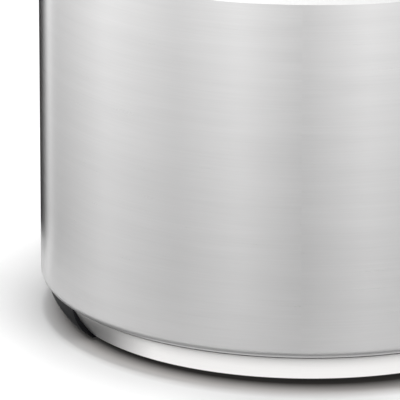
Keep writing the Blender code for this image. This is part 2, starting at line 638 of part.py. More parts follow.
def make_handle():
    """Carry handle: a bail folded behind the lid, on pivots at the collar's sides."""
    sections = []
    for a in steps(0, 180, 28):
        angle = math.radians(a)
        c, s = math.cos(angle), math.sin(angle)
        x = HANDLE_X * math.copysign(abs(c) ** (2 / HANDLE_POWER), c)
        y = HANDLE_Y * abs(s) ** (2 / HANDLE_POWER)
        out = Vector((x, y, 0)).normalized()
        rise = 5.5 - 1.0 * max(0.0, 1 - a / 20, 1 - (180 - a) / 20)
        ring = []
        for across, up in ((-2.75, -rise), (2.75, -rise), (2.75, rise), (-2.75, rise)):
            ring.append((x + out.x * across, y + out.y * across, up))
        sections.append(ring)
    handle = loft("carry_handle", sections, "black_plastic")
    for side, x in (("right", 141.4), ("left", -148.6)):
        eye = pin(f"handle_eye_{side}", [(9.5, 0.0), (9.5, 7.2)], None, 20)
        boolean(handle, lay_along_x(eye, x, 0, 0), "UNION")
    bore = pin("handle_bore", [(4.5, -160), (4.5, 160)], None, 16)
    boolean(handle, lay_along_x(bore, 0, 0, 0))
    parent_at(handle, "handle_axis", (0, 0, HANDLE_Z))
    for side, turn in (("right", 90), ("left", -90)):
        pivot = pin(f"handle_pivot_{side}", [(8.0, 135.9), (8.0, 141.0), (4.0, 141.0),
                                             (4.0, 149.0), (8.6, 149.0), (8.6, 150.4),
                                             (7.4, 151.6)], "black_plastic", 20)
        stand(pivot, (0, 0, HANDLE_Z), (0, turn, 0))


def parent_at(piece, name, location):
    """Hang a piece and its cutters on an empty at a joint's axis."""
    empty = bpy.data.objects.new(name, None)
    bpy.context.scene.collection.objects.link(empty)
    empty.location = [value * MM for value in location]
    for part in [piece] + [m.object for m in piece.modifiers if m.type == "BOOLEAN"]:
        part.parent = empty


def make_cup():
    """Condensate cup that clips on below the hinge and pulls off backwards."""
    def panel(name, half, r0, r1, low, high, look=None):
        sections = [[at_azimuth(r, 180 + a, z)
                     for r, z in ((r0, low), (r1, low), (r1, high), (r0, high))]
                    for a in steps(-half, half, 8)]
        return loft(name, sections, look)
    cup = panel("condensate_cup", 13.0, 135.5, 147.0, 199.0, 226.0, "clear_cup")
    boolean(cup, panel("cup_hollow", 12.2, 137.1, 145.4, 200.8, 230.0))


def main():
    """Clear the scene and build the cooker."""
    for old in list(bpy.data.objects):
        bpy.data.objects.remove(old, do_unlink=True)
    make_base()
    make_drum()
    make_collar()
    make_fascia()
    make_chamber()
    make_power()
    make_lid()
    make_hinge()
    make_latch()
    make_handle()
    make_cup()


main()
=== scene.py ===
"""Finished looks of a jar-type electric rice cooker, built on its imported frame.

Lengths are millimetres until a mesh is made, which is in metres. +Z is up and the
front faces -Y, as in the frame.
"""

import logging
import math
from collections.abc import Callable, Sequence
from dataclasses import dataclass
from enum import Enum

import bmesh
import bpy
from mathutils import Matrix, Vector


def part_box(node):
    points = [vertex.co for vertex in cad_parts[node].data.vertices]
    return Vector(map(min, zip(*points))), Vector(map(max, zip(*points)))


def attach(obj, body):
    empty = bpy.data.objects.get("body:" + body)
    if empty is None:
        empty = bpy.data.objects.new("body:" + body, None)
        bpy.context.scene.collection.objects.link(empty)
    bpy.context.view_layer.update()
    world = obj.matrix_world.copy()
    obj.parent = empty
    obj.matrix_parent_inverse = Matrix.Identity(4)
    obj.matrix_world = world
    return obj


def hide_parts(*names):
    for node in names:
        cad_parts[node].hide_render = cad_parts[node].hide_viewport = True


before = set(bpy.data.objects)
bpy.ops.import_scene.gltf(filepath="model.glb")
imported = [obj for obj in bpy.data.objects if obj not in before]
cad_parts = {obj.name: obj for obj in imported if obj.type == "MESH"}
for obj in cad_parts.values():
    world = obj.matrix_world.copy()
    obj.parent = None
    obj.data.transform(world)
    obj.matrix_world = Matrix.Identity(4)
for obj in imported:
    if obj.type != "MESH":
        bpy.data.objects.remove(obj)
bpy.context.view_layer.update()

LOG = logging.getLogger("rice_cooker")
MM = 0.001
FINE = 224                  # steps round a large turned piece
COARSE = 96                 # steps round a small one
CREASE = math.radians(34)   # faces that meet more sharply than this keep an edge

Point2 = tuple[float, float]
Point3 = tuple[float, float, float]
Colour = tuple[float, float, float]
Bands = Sequence[tuple[float, float]]       # azimuth in degrees and brightness of each stop
Placing = Callable[[float, float, float], Point3]
Piece = bpy.types.Object
Socket = bpy.types.NodeSocket


def node_box(node: str) -> tuple[Vector, Vector]:
    """Give a frame node's box in millimetres.

    Args:
        node: name of the frame's node.

    Returns:
        Its lowest and highest corners.
    """
    low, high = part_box(node)
    return low / MM, high / MM


def node_centre(node: str) -> Point3:
    """Give the centre of a frame node's box in millimetres."""
    low, high = node_box(node)
    return tuple((a + b) / 2 for a, b in zip(low, high))


# Shader graphs

class Value:
    """A number socket of a shader graph, so that shader maths reads as Python."""

    def __init__(self, graph: "Graph", socket: Socket) -> None:
        """Keep the graph and the output socket that this value stands for."""
        self.graph = graph
        self.socket = socket

    def join(self, operation: str, *others: "Value | float", flip: bool = False) -> "Value":
        """Add one Math node.

        Args:
            operation: the Math node's operation.
            others: the other operands.
            flip: whether the first other operand comes before this one.

        Returns:
            The node's result.
        """
        operands = [self, *others]
        if flip:
            operands[0], operands[1] = operands[1], operands[0]
        made = self.graph.node("ShaderNodeMath", {"operation": operation},
                               dict(enumerate(operands)))
        return Value(self.graph, made.outputs[0])

    def __add__(self, other: "Value | float") -> "Value":
        """Add."""
        return self.join("ADD", other)

    __radd__ = __add__

    def __sub__(self, other: "Value | float") -> "Value":
        """Subtract."""
        return self.join("SUBTRACT", other)

    def __rsub__(self, other: float) -> "Value":
        """Subtract from a plain number."""
        return self.join("SUBTRACT", other, flip=True)

    def __mul__(self, other: "Value | float") -> "Value":
        """Multiply."""
        return self.join("MULTIPLY", other)

    __rmul__ = __mul__

    def __truediv__(self, other: "Value | float") -> "Value":
        """Divide."""
        return self.join("DIVIDE", other)

    def __pow__(self, other: float) -> "Value":
        """Raise to a power."""
        return self.join("POWER", other)

    def above(self, limit: float) -> "Value":
        """Give 1 where this is above a limit, else 0."""
        return self.join("GREATER_THAN", limit)

    def clamped(self) -> "Value":
        """Keep this between 0 and 1."""
        return self.join("MINIMUM", 1.0).join("MAXIMUM", 0.0)


class Graph:
    """One material's node tree, with its Principled shader."""

    def __init__(self, name: str) -> None:
        """Make the material and keep its tree and shader."""
        self.material = bpy.data.materials.new(name)
        self.material.use_nodes = True
        self.tree = self.material.node_tree
        self.shader = self.tree.nodes["Principled BSDF"]

    def node(self, kind: str, settings: dict | None = None,
             inputs: dict | None = None) -> bpy.types.Node:
        """Add any node.

        Args:
            kind: the node's type.
            settings: properties, set first; "stops" fills a ramp with (place, colour).
            inputs: socket names or indices, with values or links.

        Returns:
            The new node.
        """
        made = self.tree.nodes.new(kind)
        for key, value in (settings or {}).items():
            if key == "stops":
                ramp = made.color_ramp
                for stop, (place, tone) in enumerate(value):
                    element = ramp.elements[stop] if stop < 2 else ramp.elements.new(place)
                    element.position = place
                    element.color = (*tone, 1.0)
            else:
                setattr(made, key, value)
        for key, value in (inputs or {}).items():
            if isinstance(value, Value):
                value = value.socket
            if isinstance(value, Socket):
                self.tree.links.new(value, made.inputs[key])
            else:
                made.inputs[key].default_value = value
        return made

    def coords(self) -> Socket:
        """Give a point in the object's own frame, in metres."""
        return self.node("ShaderNodeTexCoord").outputs["Object"]

    def place(self) -> tuple[Value, Value, Value]:
        """Give the x, y and z of such a point."""
        parts = self.node("ShaderNodeSeparateXYZ", inputs={0: self.coords()})
        return tuple(Value(self, parts.outputs[i]) for i in range(3))

    def vector(self, x: Value | float, y: Value | float, z: Value | float) -> Socket:
        """Join three numbers into a vector."""
        return self.node("ShaderNodeCombineXYZ", inputs={0: x, 1: y, 2: z}).outputs[0]

    def noise(self, at: Socket, scale: float, detail: float = 2.0,
              rough: float = 0.5) -> Value:
        """Give a noise texture's value at a vector."""
        made = self.node("ShaderNodeTexNoise", inputs={
            "Vector": at, "Scale": scale, "Detail": detail, "Roughness": rough})
        return Value(self, made.outputs[0])

    def blend(self, factor: Value, low: Colour, high: Colour) -> Socket:
        """Mix two colours by a value."""
        made = self.node("ShaderNodeMix", {"data_type": "RGBA"},
                         {0: factor, 6: (*low, 1.0), 7: (*high, 1.0)})
        return made.outputs[2]

    def uneven(self, factor: Value, tint: Colour, contrast: float) -> Socket:
        """Vary a colour from darker to lighter by a value."""
        return self.blend(factor, shade(tint, 1 - contrast), shade(tint, 1 + contrast))

    def ramp(self, factor: Value, stops: Sequence[tuple[float, Colour]]) -> Socket:
        """Colour a value by a ramp's stops."""
        return self.node("ShaderNodeValToRGB", {"stops": stops}, {0: factor}).outputs[0]

    def bump(self, height: Value, depth_mm: float, strength: float = 1.0) -> None:
        """Raise the surface by a value times a depth in millimetres."""
        made = self.node("ShaderNodeBump", inputs={
            "Height": height, "Distance": depth_mm * MM, "Strength": strength})
        self.tree.links.new(made.outputs[0], self.shader.inputs["Normal"])

    def feed(self, **sockets: "Value | Socket | float | Colour") -> None:
        """Set or link the shader's sockets, written with _ for a space."""
        for key, value in sockets.items():
            target = self.shader.inputs[key.replace("_", " ")]
            if isinstance(value, Value):
                value = value.socket
            if isinstance(value, Socket):
                self.tree.links.new(value, target)
            elif isinstance(value, tuple) and len(value) == 3:
                target.default_value = (*value, 1.0)
            else:
                target.default_value = value


def shade(tint: Colour, factor: float) -> Colour:
    """Scale a colour, kept below 1."""
    return tuple(min(1.0, channel * factor) for channel in tint)


# Finishes

@dataclass(frozen=True)
class Finish:
    """A surface finish: a name, a colour and a roughness."""

    name: str
    tint: Colour
    roughness: float

    def material(self) -> bpy.types.Material:
        """Give the finish's material, made once."""
        found = bpy.data.materials.get(self.name)
        if found:
            return found
        graph = Graph(self.name)
        self.dress(graph)
        return graph.material

    def dress(self, graph: Graph) -> None:
        """Fill the graph; each kind of finish has its own way."""
        raise NotImplementedError


class Grain(Enum):
    """The way that brush lines run on a metal."""

    HOOP = "round the body"
    SPUN = "in rings about the lid's centre"


@dataclass(frozen=True)
class BrushedMetal(Finish):
    """Metal with fine brush lines."""

    grain: Grain = Grain.HOOP
    contrast: float = 0.06
    anisotropy: float = 0.9
    anisotropic_turn: float = 0.25
    lines_per_mm: float = 1.3
    bump_mm: float = 0.002

    def dress(self, graph: Graph) -> None:
        """Draw the lines as noise that is stretched along the brushing."""
        x, y, z = graph.place()
        angle = x.join("ARCTAN2", y)
        per_metre = self.lines_per_mm / MM
        if self.grain is Grain.HOOP:
            along, across = angle * 3.0, z * per_metre
        else:
            along, across = angle * 1.2, (x * x + y * y) ** 0.5 * per_metre
        fine = graph.noise(graph.vector(along, across, 0.0), 1.0, 3.0, 0.6)
        broad = graph.noise(graph.vector(along * 0.6, across * 0.12, 3.0), 1.0, 2.0)
        tone = (fine * 0.55 + broad * 0.45).clamped()
        graph.feed(
            Base_Color=graph.uneven(tone, self.tint, self.contrast),
            Roughness=(fine - 0.5) * 0.12 + self.roughness,
            Metallic=1.0, Anisotropic=self.anisotropy,
            Anisotropic_Rotation=self.anisotropic_turn)
        graph.bump(fine, self.bump_mm, 0.6)


@dataclass(frozen=True)
class Moulded(Finish):
    """Moulded plastic, from glossy to a fine spark-eroded grain."""

    grain_mm: float = 0.0
    coat: float = 0.0
    mottle: float = 0.015
    specular: float = 0.5

    def dress(self, graph: Graph) -> None:
        """Add slow unevenness, and a grain where the moulding has one."""
        at = graph.coords()
        slow = graph.noise(at, 35.0, 3.0)
        graph.feed(
            Base_Color=graph.uneven(slow, self.tint, self.mottle),
            Roughness=(slow - 0.5) * 0.08 + self.roughness,
            Coat_Weight=self.coat, Coat_Roughness=0.06, Specular_IOR_Level=self.specular)
        if self.grain_mm:
            graph.bump(graph.noise(at, 1.6 / MM, 3.0, 0.7), self.grain_mm, 0.8)
        else:
            graph.bump(graph.noise(at, 260.0, 2.0), 0.01, 0.35)


@dataclass(frozen=True)
class Clear(Finish):
    """Clear or smoked plastic that shows what is behind it."""

    see_through: float = 0.6
    frost: float = 0.0

    def dress(self, graph: Graph) -> None:
        """Let part of the light through, with a faint unevenness in the gloss."""
        haze = graph.noise(graph.coords(), 60.0, 2.0)
        graph.feed(Base_Color=self.tint, Roughness=haze * 0.06 + self.roughness + self.frost,
                   Alpha=1.0 - self.see_through * (1.0 - 0.12 * haze), Coat_Weight=0.5)


@dataclass(frozen=True)
class SheetMetal(Finish):
    """Zinc-coated or cast metal with a spangle or a sand texture."""

    cell_mm: float = 5.0
    sand_mm: float = 0.0

    def dress(self, graph: Graph) -> None:
        """Tint the cells apart, and roughen a cast skin."""
        at = graph.coords()
        cells = graph.node("ShaderNodeTexVoronoi", inputs={
            "Vector": at, "Scale": 1.0 / (self.cell_mm * MM)})
        tone = Value(graph, graph.node("ShaderNodeSeparateColor",
                                       inputs={0: cells.outputs["Color"]}).outputs[0])
        graph.feed(Base_Color=graph.blend(tone, shade(self.tint, 0.9), shade(self.tint, 1.08)),
                   Roughness=tone * 0.14 + self.roughness, Metallic=1.0)
        if self.sand_mm:
            graph.bump(graph.noise(at, 1.0 / MM, 3.0), self.sand_mm)


@dataclass(frozen=True)
class Speckled(Finish):
    """Non-stick coating with fine lighter flecks."""

    fleck: Colour = (0.32, 0.31, 0.30)

    def dress(self, graph: Graph) -> None:
        """Scatter flecks over a dark coat."""
        at = graph.coords()
        spots = graph.noise(at, 1.1 / MM, 1.0).above(0.66)
        graph.feed(Base_Color=graph.blend(spots, self.tint, self.fleck),
                   Roughness=spots * 0.1 + self.roughness, Metallic=0.15)
        graph.bump(graph.noise(at, 0.9 / MM, 2.0), 0.02, 0.5)


@dataclass(frozen=True)
class CircuitBoard(Finish):
    """Solder mask with copper tracks showing faintly under it."""

    def dress(self, graph: Graph) -> None:
        """Draw tracks from a brick pattern in the board's own plane."""
        x, y, z = graph.place()
        bricks = graph.node("ShaderNodeTexBrick", inputs={
            "Vector": graph.vector(x, y + z, 0.0), "Scale": 90.0, "Mortar Size": 0.08,
            "Color1": (0, 0, 0, 1), "Color2": (0, 0, 0, 1), "Mortar": (1, 1, 1, 1)})
        tracks = Value(graph, bricks.outputs["Color"])
        graph.feed(Base_Color=graph.blend(tracks, self.tint, shade(self.tint, 1.9)),
                   Roughness=self.roughness)
        graph.bump(tracks, 0.05, 0.5)


@dataclass(frozen=True)
class PaintedShadowPaper(Finish):
    """Matt paper with a painted contact shadow: its colour goes darker round where the object
    stands.
    """

    # Radii in metres where the painted shadow is darkest and where it fades out, from its centre.
    shadow_dark_radius: float = 0.116
    shadow_end_radius: float = 0.138
    # Centre of the painted shadow, a little right of and in front of the drum's axis.
    centre: Point2 = (0.003, -0.005)

    def dress(self, graph: Graph) -> None:
        """Paint a shadow into the paper's colour, ramping from near black at the object's foot out
        to the paper's own tone.
        """
        x, y, _ = graph.place()
        x, y = x - self.centre[0], y - self.centre[1]
        radius = (x * x + y * y) ** 0.5
        step = (radius - self.shadow_dark_radius) / (self.shadow_end_radius - self.shadow_dark_radius)
        # Painted shadow: near black at the inner radius, mid grey halfway, the paper's own colour
        # beyond.
        shadow_tones = [(0.0, (0.06, 0.056, 0.053)), (0.5, (0.56, 0.54, 0.53)), (1.0, self.tint)]
        graph.feed(Base_Color=graph.ramp(step, shadow_tones), Roughness=self.roughness,
                   Specular_IOR_Level=0.1)


@dataclass(frozen=True)
class Glow(Finish):
    """Light from a studio card: brighter and darker round the compass and up its height."""

    bands: Bands
    foot: float                 # brightness at the floor, times the bands'
    head: float                 # the same at the card's full height
    height: float
    peak: float = 2.0

    def dress(self, graph: Graph) -> None:
        """Ramp the light by azimuth, from the front towards +X, and by height."""
        x, y, z = graph.place()
        turn = x.join("ARCTAN2", y * -1.0) / (2 * math.pi) + 0.5
        stops = [(a / 360 + 0.5, (v / self.peak,) * 3) for a, v in self.bands]
        light = Value(graph, graph.ramp(turn, stops))
        rise = z * ((self.head - self.foot) / self.height) + self.foot
        graph.feed(Base_Color=self.tint, Specular_IOR_Level=0.0,
                   Emission_Color=(light * rise).socket, Emission_Strength=self.peak)
        graph.material.cycles.emission_sampling = "NONE"


STEEL = BrushedMetal("brushed_steel_sheet", (0.555, 0.552, 0.552), 0.30, contrast=0.11)
TRIM_METAL = BrushedMetal("satin_trim", (0.93, 0.92, 0.91), 0.36, contrast=0.06,
                          anisotropy=0.5, lines_per_mm=2.2)
SPUN_STEEL = BrushedMetal("spun_steel", (0.56, 0.552, 0.545), 0.26, grain=Grain.SPUN,
                          contrast=0.07, anisotropy=0.6, lines_per_mm=1.6)
WHITE = Moulded("white_gloss", (0.71, 0.71, 0.705), 0.2, coat=0.35)
BLACK = Moulded("black_gloss", (0.008, 0.008, 0.009), 0.34, mottle=0.1, specular=0.10)
BLACK_GRAIN = Moulded("black_grained", (0.018, 0.018, 0.019), 0.48, grain_mm=0.03, mottle=0.1)
GREY = Moulded("grey_satin", (0.34, 0.35, 0.36), 0.38, grain_mm=0.012, mottle=0.04)
PALE_GREY = Moulded("pale_grey_satin", (0.62, 0.63, 0.64), 0.36, grain_mm=0.012, mottle=0.03)
KEY_WHITE = Moulded("key_white", (0.80, 0.80, 0.79), 0.3, coat=0.2)
KEY_ORANGE = Moulded("key_orange", (0.80, 0.22, 0.03), 0.3, coat=0.2)
SILICONE = Moulded("silicone", (0.66, 0.67, 0.68), 0.55, mottle=0.03)
RUBBER = Moulded("foot_rubber", (0.025, 0.025, 0.026), 0.8, grain_mm=0.03, mottle=0.15)
LCD = Moulded("display_face", (0.44, 0.50, 0.42), 0.25)
LCD_INK = Moulded("display_ink", (0.02, 0.025, 0.02), 0.4)
MARK_GREY = Moulded("printed_mark", (0.55, 0.55, 0.54), 0.5)
SMOKED = Clear("smoked_window", (0.03, 0.032, 0.036), 0.05, see_through=0.55)
FROSTED = Clear("frosted_cup", (0.78, 0.80, 0.82), 0.12, see_through=0.35, frost=0.15)
ZINC = SheetMetal("zinc_sheet", (0.64, 0.65, 0.66), 0.34)
CAST = SheetMetal("cast_aluminium", (0.70, 0.70, 0.69), 0.40, cell_mm=1.5, sand_mm=0.03)
DARK_STEEL = SheetMetal("oxide_steel", (0.20, 0.19, 0.18), 0.36, cell_mm=2.0)
SPRING = SheetMetal("spring_wire", (0.58, 0.58, 0.57), 0.26, cell_mm=1.0)
COATING = Speckled("non_stick", (0.045, 0.045, 0.047), 0.36)
BOARD = CircuitBoard("circuit_board", (0.02, 0.20, 0.08), 0.4)


# Mesh tools

def linked(name: str, data: bpy.types.ID) -> Piece:
    """Make an object from its data and put it in the scene."""
    made = bpy.data.objects.new(name, data)
    bpy.context.scene.collection.objects.link(made)
    return made


def make_piece(name: str, bm: bmesh.types.BMesh) -> Piece:
    """Turn a bmesh in millimetres into an object in metres, shaded smooth.

    Args:
        name: the object's name.
        bm: the mesh, which is used up.

    Returns:
        The object, standing at the frame's origin.
    """
    bmesh.ops.recalc_face_normals(bm, faces=bm.faces)
    bmesh.ops.scale(bm, vec=(MM, MM, MM), verts=bm.verts)
    mesh = bpy.data.meshes.new(name)
    bm.to_mesh(mesh)
    bm.free()
    mesh.shade_smooth()
    mesh.set_sharp_from_angle(angle=CREASE)
    return linked(name, mesh)


def rounded(corners: Sequence[Sequence[float]], step_deg: float = 12.0,
            guard: float = 0.5) -> list[Point2]:
    """Round a closed outline's corners.

    Args:
        corners: (a, b) or (a, b, fillet radius) for each corner.
        step_deg: turn of one arc step.
        guard: a long straight run gets a point this far from each end, so that its
            shading stays flat.

    Returns:
        The outline's points.
    """
    points: list[Vector] = []
    count = len(corners)
    for i, corner in enumerate(corners):
        here = Vector(corner[:2])
        fillet = corner[2] if len(corner) > 2 else 0.0
        before = Vector(corners[i - 1][:2]) - here
        after = Vector(corners[(i + 1) % count][:2]) - here
        bend = math.pi - before.angle(after) if fillet else 0.0
        if bend < 0.02:
            points.append(here)
            continue
        reach = min(fillet * math.tan(bend / 2), before.length * 0.48, after.length * 0.48)
        radius = reach / math.tan(bend / 2)
        start = here + before.normalized() * reach
        centre = here + (before.normalized() + after.normalized()).normalized() * (
            radius / math.cos(bend / 2))
        spoke = start - centre
        turn = math.copysign(bend, before.cross(after)) * -1
        steps = max(2, round(math.degrees(bend) / step_deg))
        for k in range(steps + 1):
            c, s = math.cos(turn * k / steps), math.sin(turn * k / steps)
            points.append(centre + Vector((c * spoke.x - s * spoke.y, s * spoke.x + c * spoke.y)))
    guarded: list[Point2] = []
    for i, point in enumerate(points):
        following = points[(i + 1) % len(points)]
        guarded.append(tuple(point))
        run = following - point
        if run.length > 6 * guard:
            guarded.append(tuple(point + run.normalized() * guard))
            guarded.append(tuple(following - run.normalized() * guard))
    return guarded


def turned(name: str, outline: Sequence[Point2], steps: int = FINE,
           axis: Placing | None = None) -> Piece:
    """Turn a closed (radius, height) outline about Z or about another axis.

    Args:
        name: the piece's name.
        outline: points of the outline; radius 0 lies on the axis.
        steps: steps round the turn.
        axis: maps a point turned about Z to its real place.

    Returns:
        The piece.
    """
    bm = bmesh.new()
    rings = []
    for radius, height in outline:
        if radius < 1e-6:
            rings.append([bm.verts.new((0.0, 0.0, height))])
            continue
        rings.append([bm.verts.new((radius * math.cos(2 * math.pi * k / steps),
                                    radius * math.sin(2 * math.pi * k / steps), height))
                      for k in range(steps)])
    for i, ring in enumerate(rings):
        following = rings[(i + 1) % len(rings)]
        if len(ring) == 1 and len(following) == 1:
            continue
        for k in range(steps):
            nxt = (k + 1) % steps
            corners = [ring[k % len(ring)], ring[nxt % len(ring)],
                       following[nxt % len(following)], following[k % len(following)]]
            bm.faces.new(list(dict.fromkeys(corners)))
    if axis:
        for vert in bm.verts:
            vert.co = axis(*vert.co)
    return make_piece(name, bm)


def along_x(x: float, y: float, z: float) -> Placing:
    """Map a piece turned about Z to one turned about an axis along X through a point."""
    return lambda a, b, c: (x + c, y + a, z + b)


def shifted(x: float, y: float, z: float = 0.0) -> Placing:
    """Map a piece turned about Z to one standing elsewhere."""
    return lambda a, b, c: (a + x, b + y, c + z)


def rod(name: str, radius: float, low: float, high: float, steps: int, axis: Placing) -> Piece:
    """Turn a plain rod from low to high, to bore a round hole with."""
    return turned(name, [(0, low), (radius, low), (radius, high), (0, high)], steps, axis)


def loft(name: str, sections: Sequence[Sequence[Point3]]) -> Piece:
    """Skin a row of closed sections, and close both ends.

    Args:
        name: the piece's name.
        sections: rings with the same number of points.

    Returns:
        The piece.
    """
    bm = bmesh.new()
    rings = [[bm.verts.new(point) for point in section] for section in sections]
    bm.faces.new(rings[0])
    bm.faces.new(rings[-1])
    for first, second in zip(rings, rings[1:]):
        for i in range(len(first)):
            j = (i + 1) % len(first)
            bm.faces.new((first[i], first[j], second[j], second[i]))
    return make_piece(name, bm)


def block(name: str, low: Point3, high: Point3) -> Piece:
    """Make a box between two corners."""
    bm = bmesh.new()
    centre = (Vector(low) + Vector(high)) / 2
    size = Vector(high) - Vector(low)
    bmesh.ops.create_cube(bm, size=1.0,
                          matrix=Matrix.Translation(centre) @ Matrix.Diagonal((*size, 1.0)))
    return make_piece(name, bm)


def prism(name: str, outline: Sequence[Point2], low: float, high: float) -> Piece:
    """Extrude a (y, z) outline along X."""
    return loft(name, [[(x, y, z) for y, z in outline] for x in (low, high)])


def baked(piece: Piece) -> Piece:
    """Apply a piece's modifiers to its mesh."""
    graph = bpy.context.evaluated_depsgraph_get()
    mesh = bpy.data.meshes.new_from_object(piece.evaluated_get(graph))
    piece.modifiers.clear()
    piece.data = mesh
    mesh.shade_smooth()
    mesh.set_sharp_from_angle(angle=CREASE)
    return piece


def carve(piece: Piece, *others: Piece,
          operation: str = "DIFFERENCE") -> Piece:
    """Cut shapes out of a piece, or join them on, and remove them.

    Args:
        piece: the piece that is changed.
        others: the shapes.
        operation: the Boolean's operation.

    Returns:
        The piece.
    """
    for other in others:
        modifier = piece.modifiers.new(other.name, "BOOLEAN")
        modifier.operation = operation
        modifier.solver = "EXACT"
        modifier.object = other
    baked(piece)
    for other in others:
        bpy.data.objects.remove(other, do_unlink=True)
    return piece


def softened(piece: Piece, width: float, steps: int = 2,
             limit_deg: float = 40.0) -> Piece:
    """Round a piece's sharp edges.

    Args:
        piece: the piece.
        width: bevel width in millimetres.
        steps: bevel segments.
        limit_deg: edges sharper than this are rounded.

    Returns:
        The piece.
    """
    modifier = piece.modifiers.new("edge_round", "BEVEL")
    modifier.width = width * MM
    modifier.segments = steps
    modifier.limit_method = "ANGLE"
    modifier.angle_limit = math.radians(limit_deg)
    return baked(piece)


def copied(node: str, name: str, width: float) -> Piece:
    """Make a piece from a frame node's shape, with its edges rounded.

    Args:
        node: the frame's node.
        name: the new piece's name.
        width: bevel width in millimetres.

    Returns:
        The piece.
    """
    bm = bmesh.new()
    bm.from_mesh(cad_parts[node].data)
    bmesh.ops.remove_doubles(bm, verts=bm.verts, dist=2e-6)
    bmesh.ops.dissolve_limit(bm, angle_limit=math.radians(1.0), verts=bm.verts, edges=bm.edges)
    bmesh.ops.scale(bm, vec=(1 / MM,) * 3, verts=bm.verts)
    return softened(make_piece(name, bm), width)


def joined(name: str, parts: Sequence[Piece]) -> Piece:
    """Join separate solids into one piece."""
    bm = bmesh.new()
    for part in parts:
        bm.from_mesh(part.data)
        bpy.data.objects.remove(part, do_unlink=True)
    bmesh.ops.scale(bm, vec=(1 / MM,) * 3, verts=bm.verts)
    return make_piece(name, bm)


def at_azimuth(radius: float, azimuth: float, height: float) -> Point3:
    """Point on a cylinder at an azimuth in degrees from the front, towards +X."""
    angle = math.radians(azimuth)
    return (radius * math.sin(angle), -radius * math.cos(angle), height)


def spread(low: float, high: float, count: int) -> list[float]:
    """Give evenly spaced values from low to high."""
    return [low + (high - low) * i / count for i in range(count + 1)]


def install(piece: Piece, body: str, look: Finish, slot: str,
            *nodes: str) -> Piece:
    """Dress a new piece and fix it to a body.

    Args:
        piece: the piece.
        body: the frame body it rides on.
        look: its finish.
        slot: the record's material slot that the finish stands for; not used.
        nodes: frame nodes that the piece replaces.

    Returns:
        The piece.
    """
    piece.data.materials.clear()
    piece.data.materials.append(look.material())
    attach(piece, body)
    if nodes:
        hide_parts(*nodes)
    LOG.info("%s rides on %s", piece.name, body)
    return piece


def dress_nodes(looks: dict[Finish, Sequence[str]]) -> None:
    """Give frame nodes that stay as they are their finishes."""
    for look, names in looks.items():
        for name in names:
            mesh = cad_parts[name].data
            mesh.materials.clear()
            mesh.materials.append(look.material())
            LOG.info("%s keeps its frame shape", name)


BODY = "cooker_body"


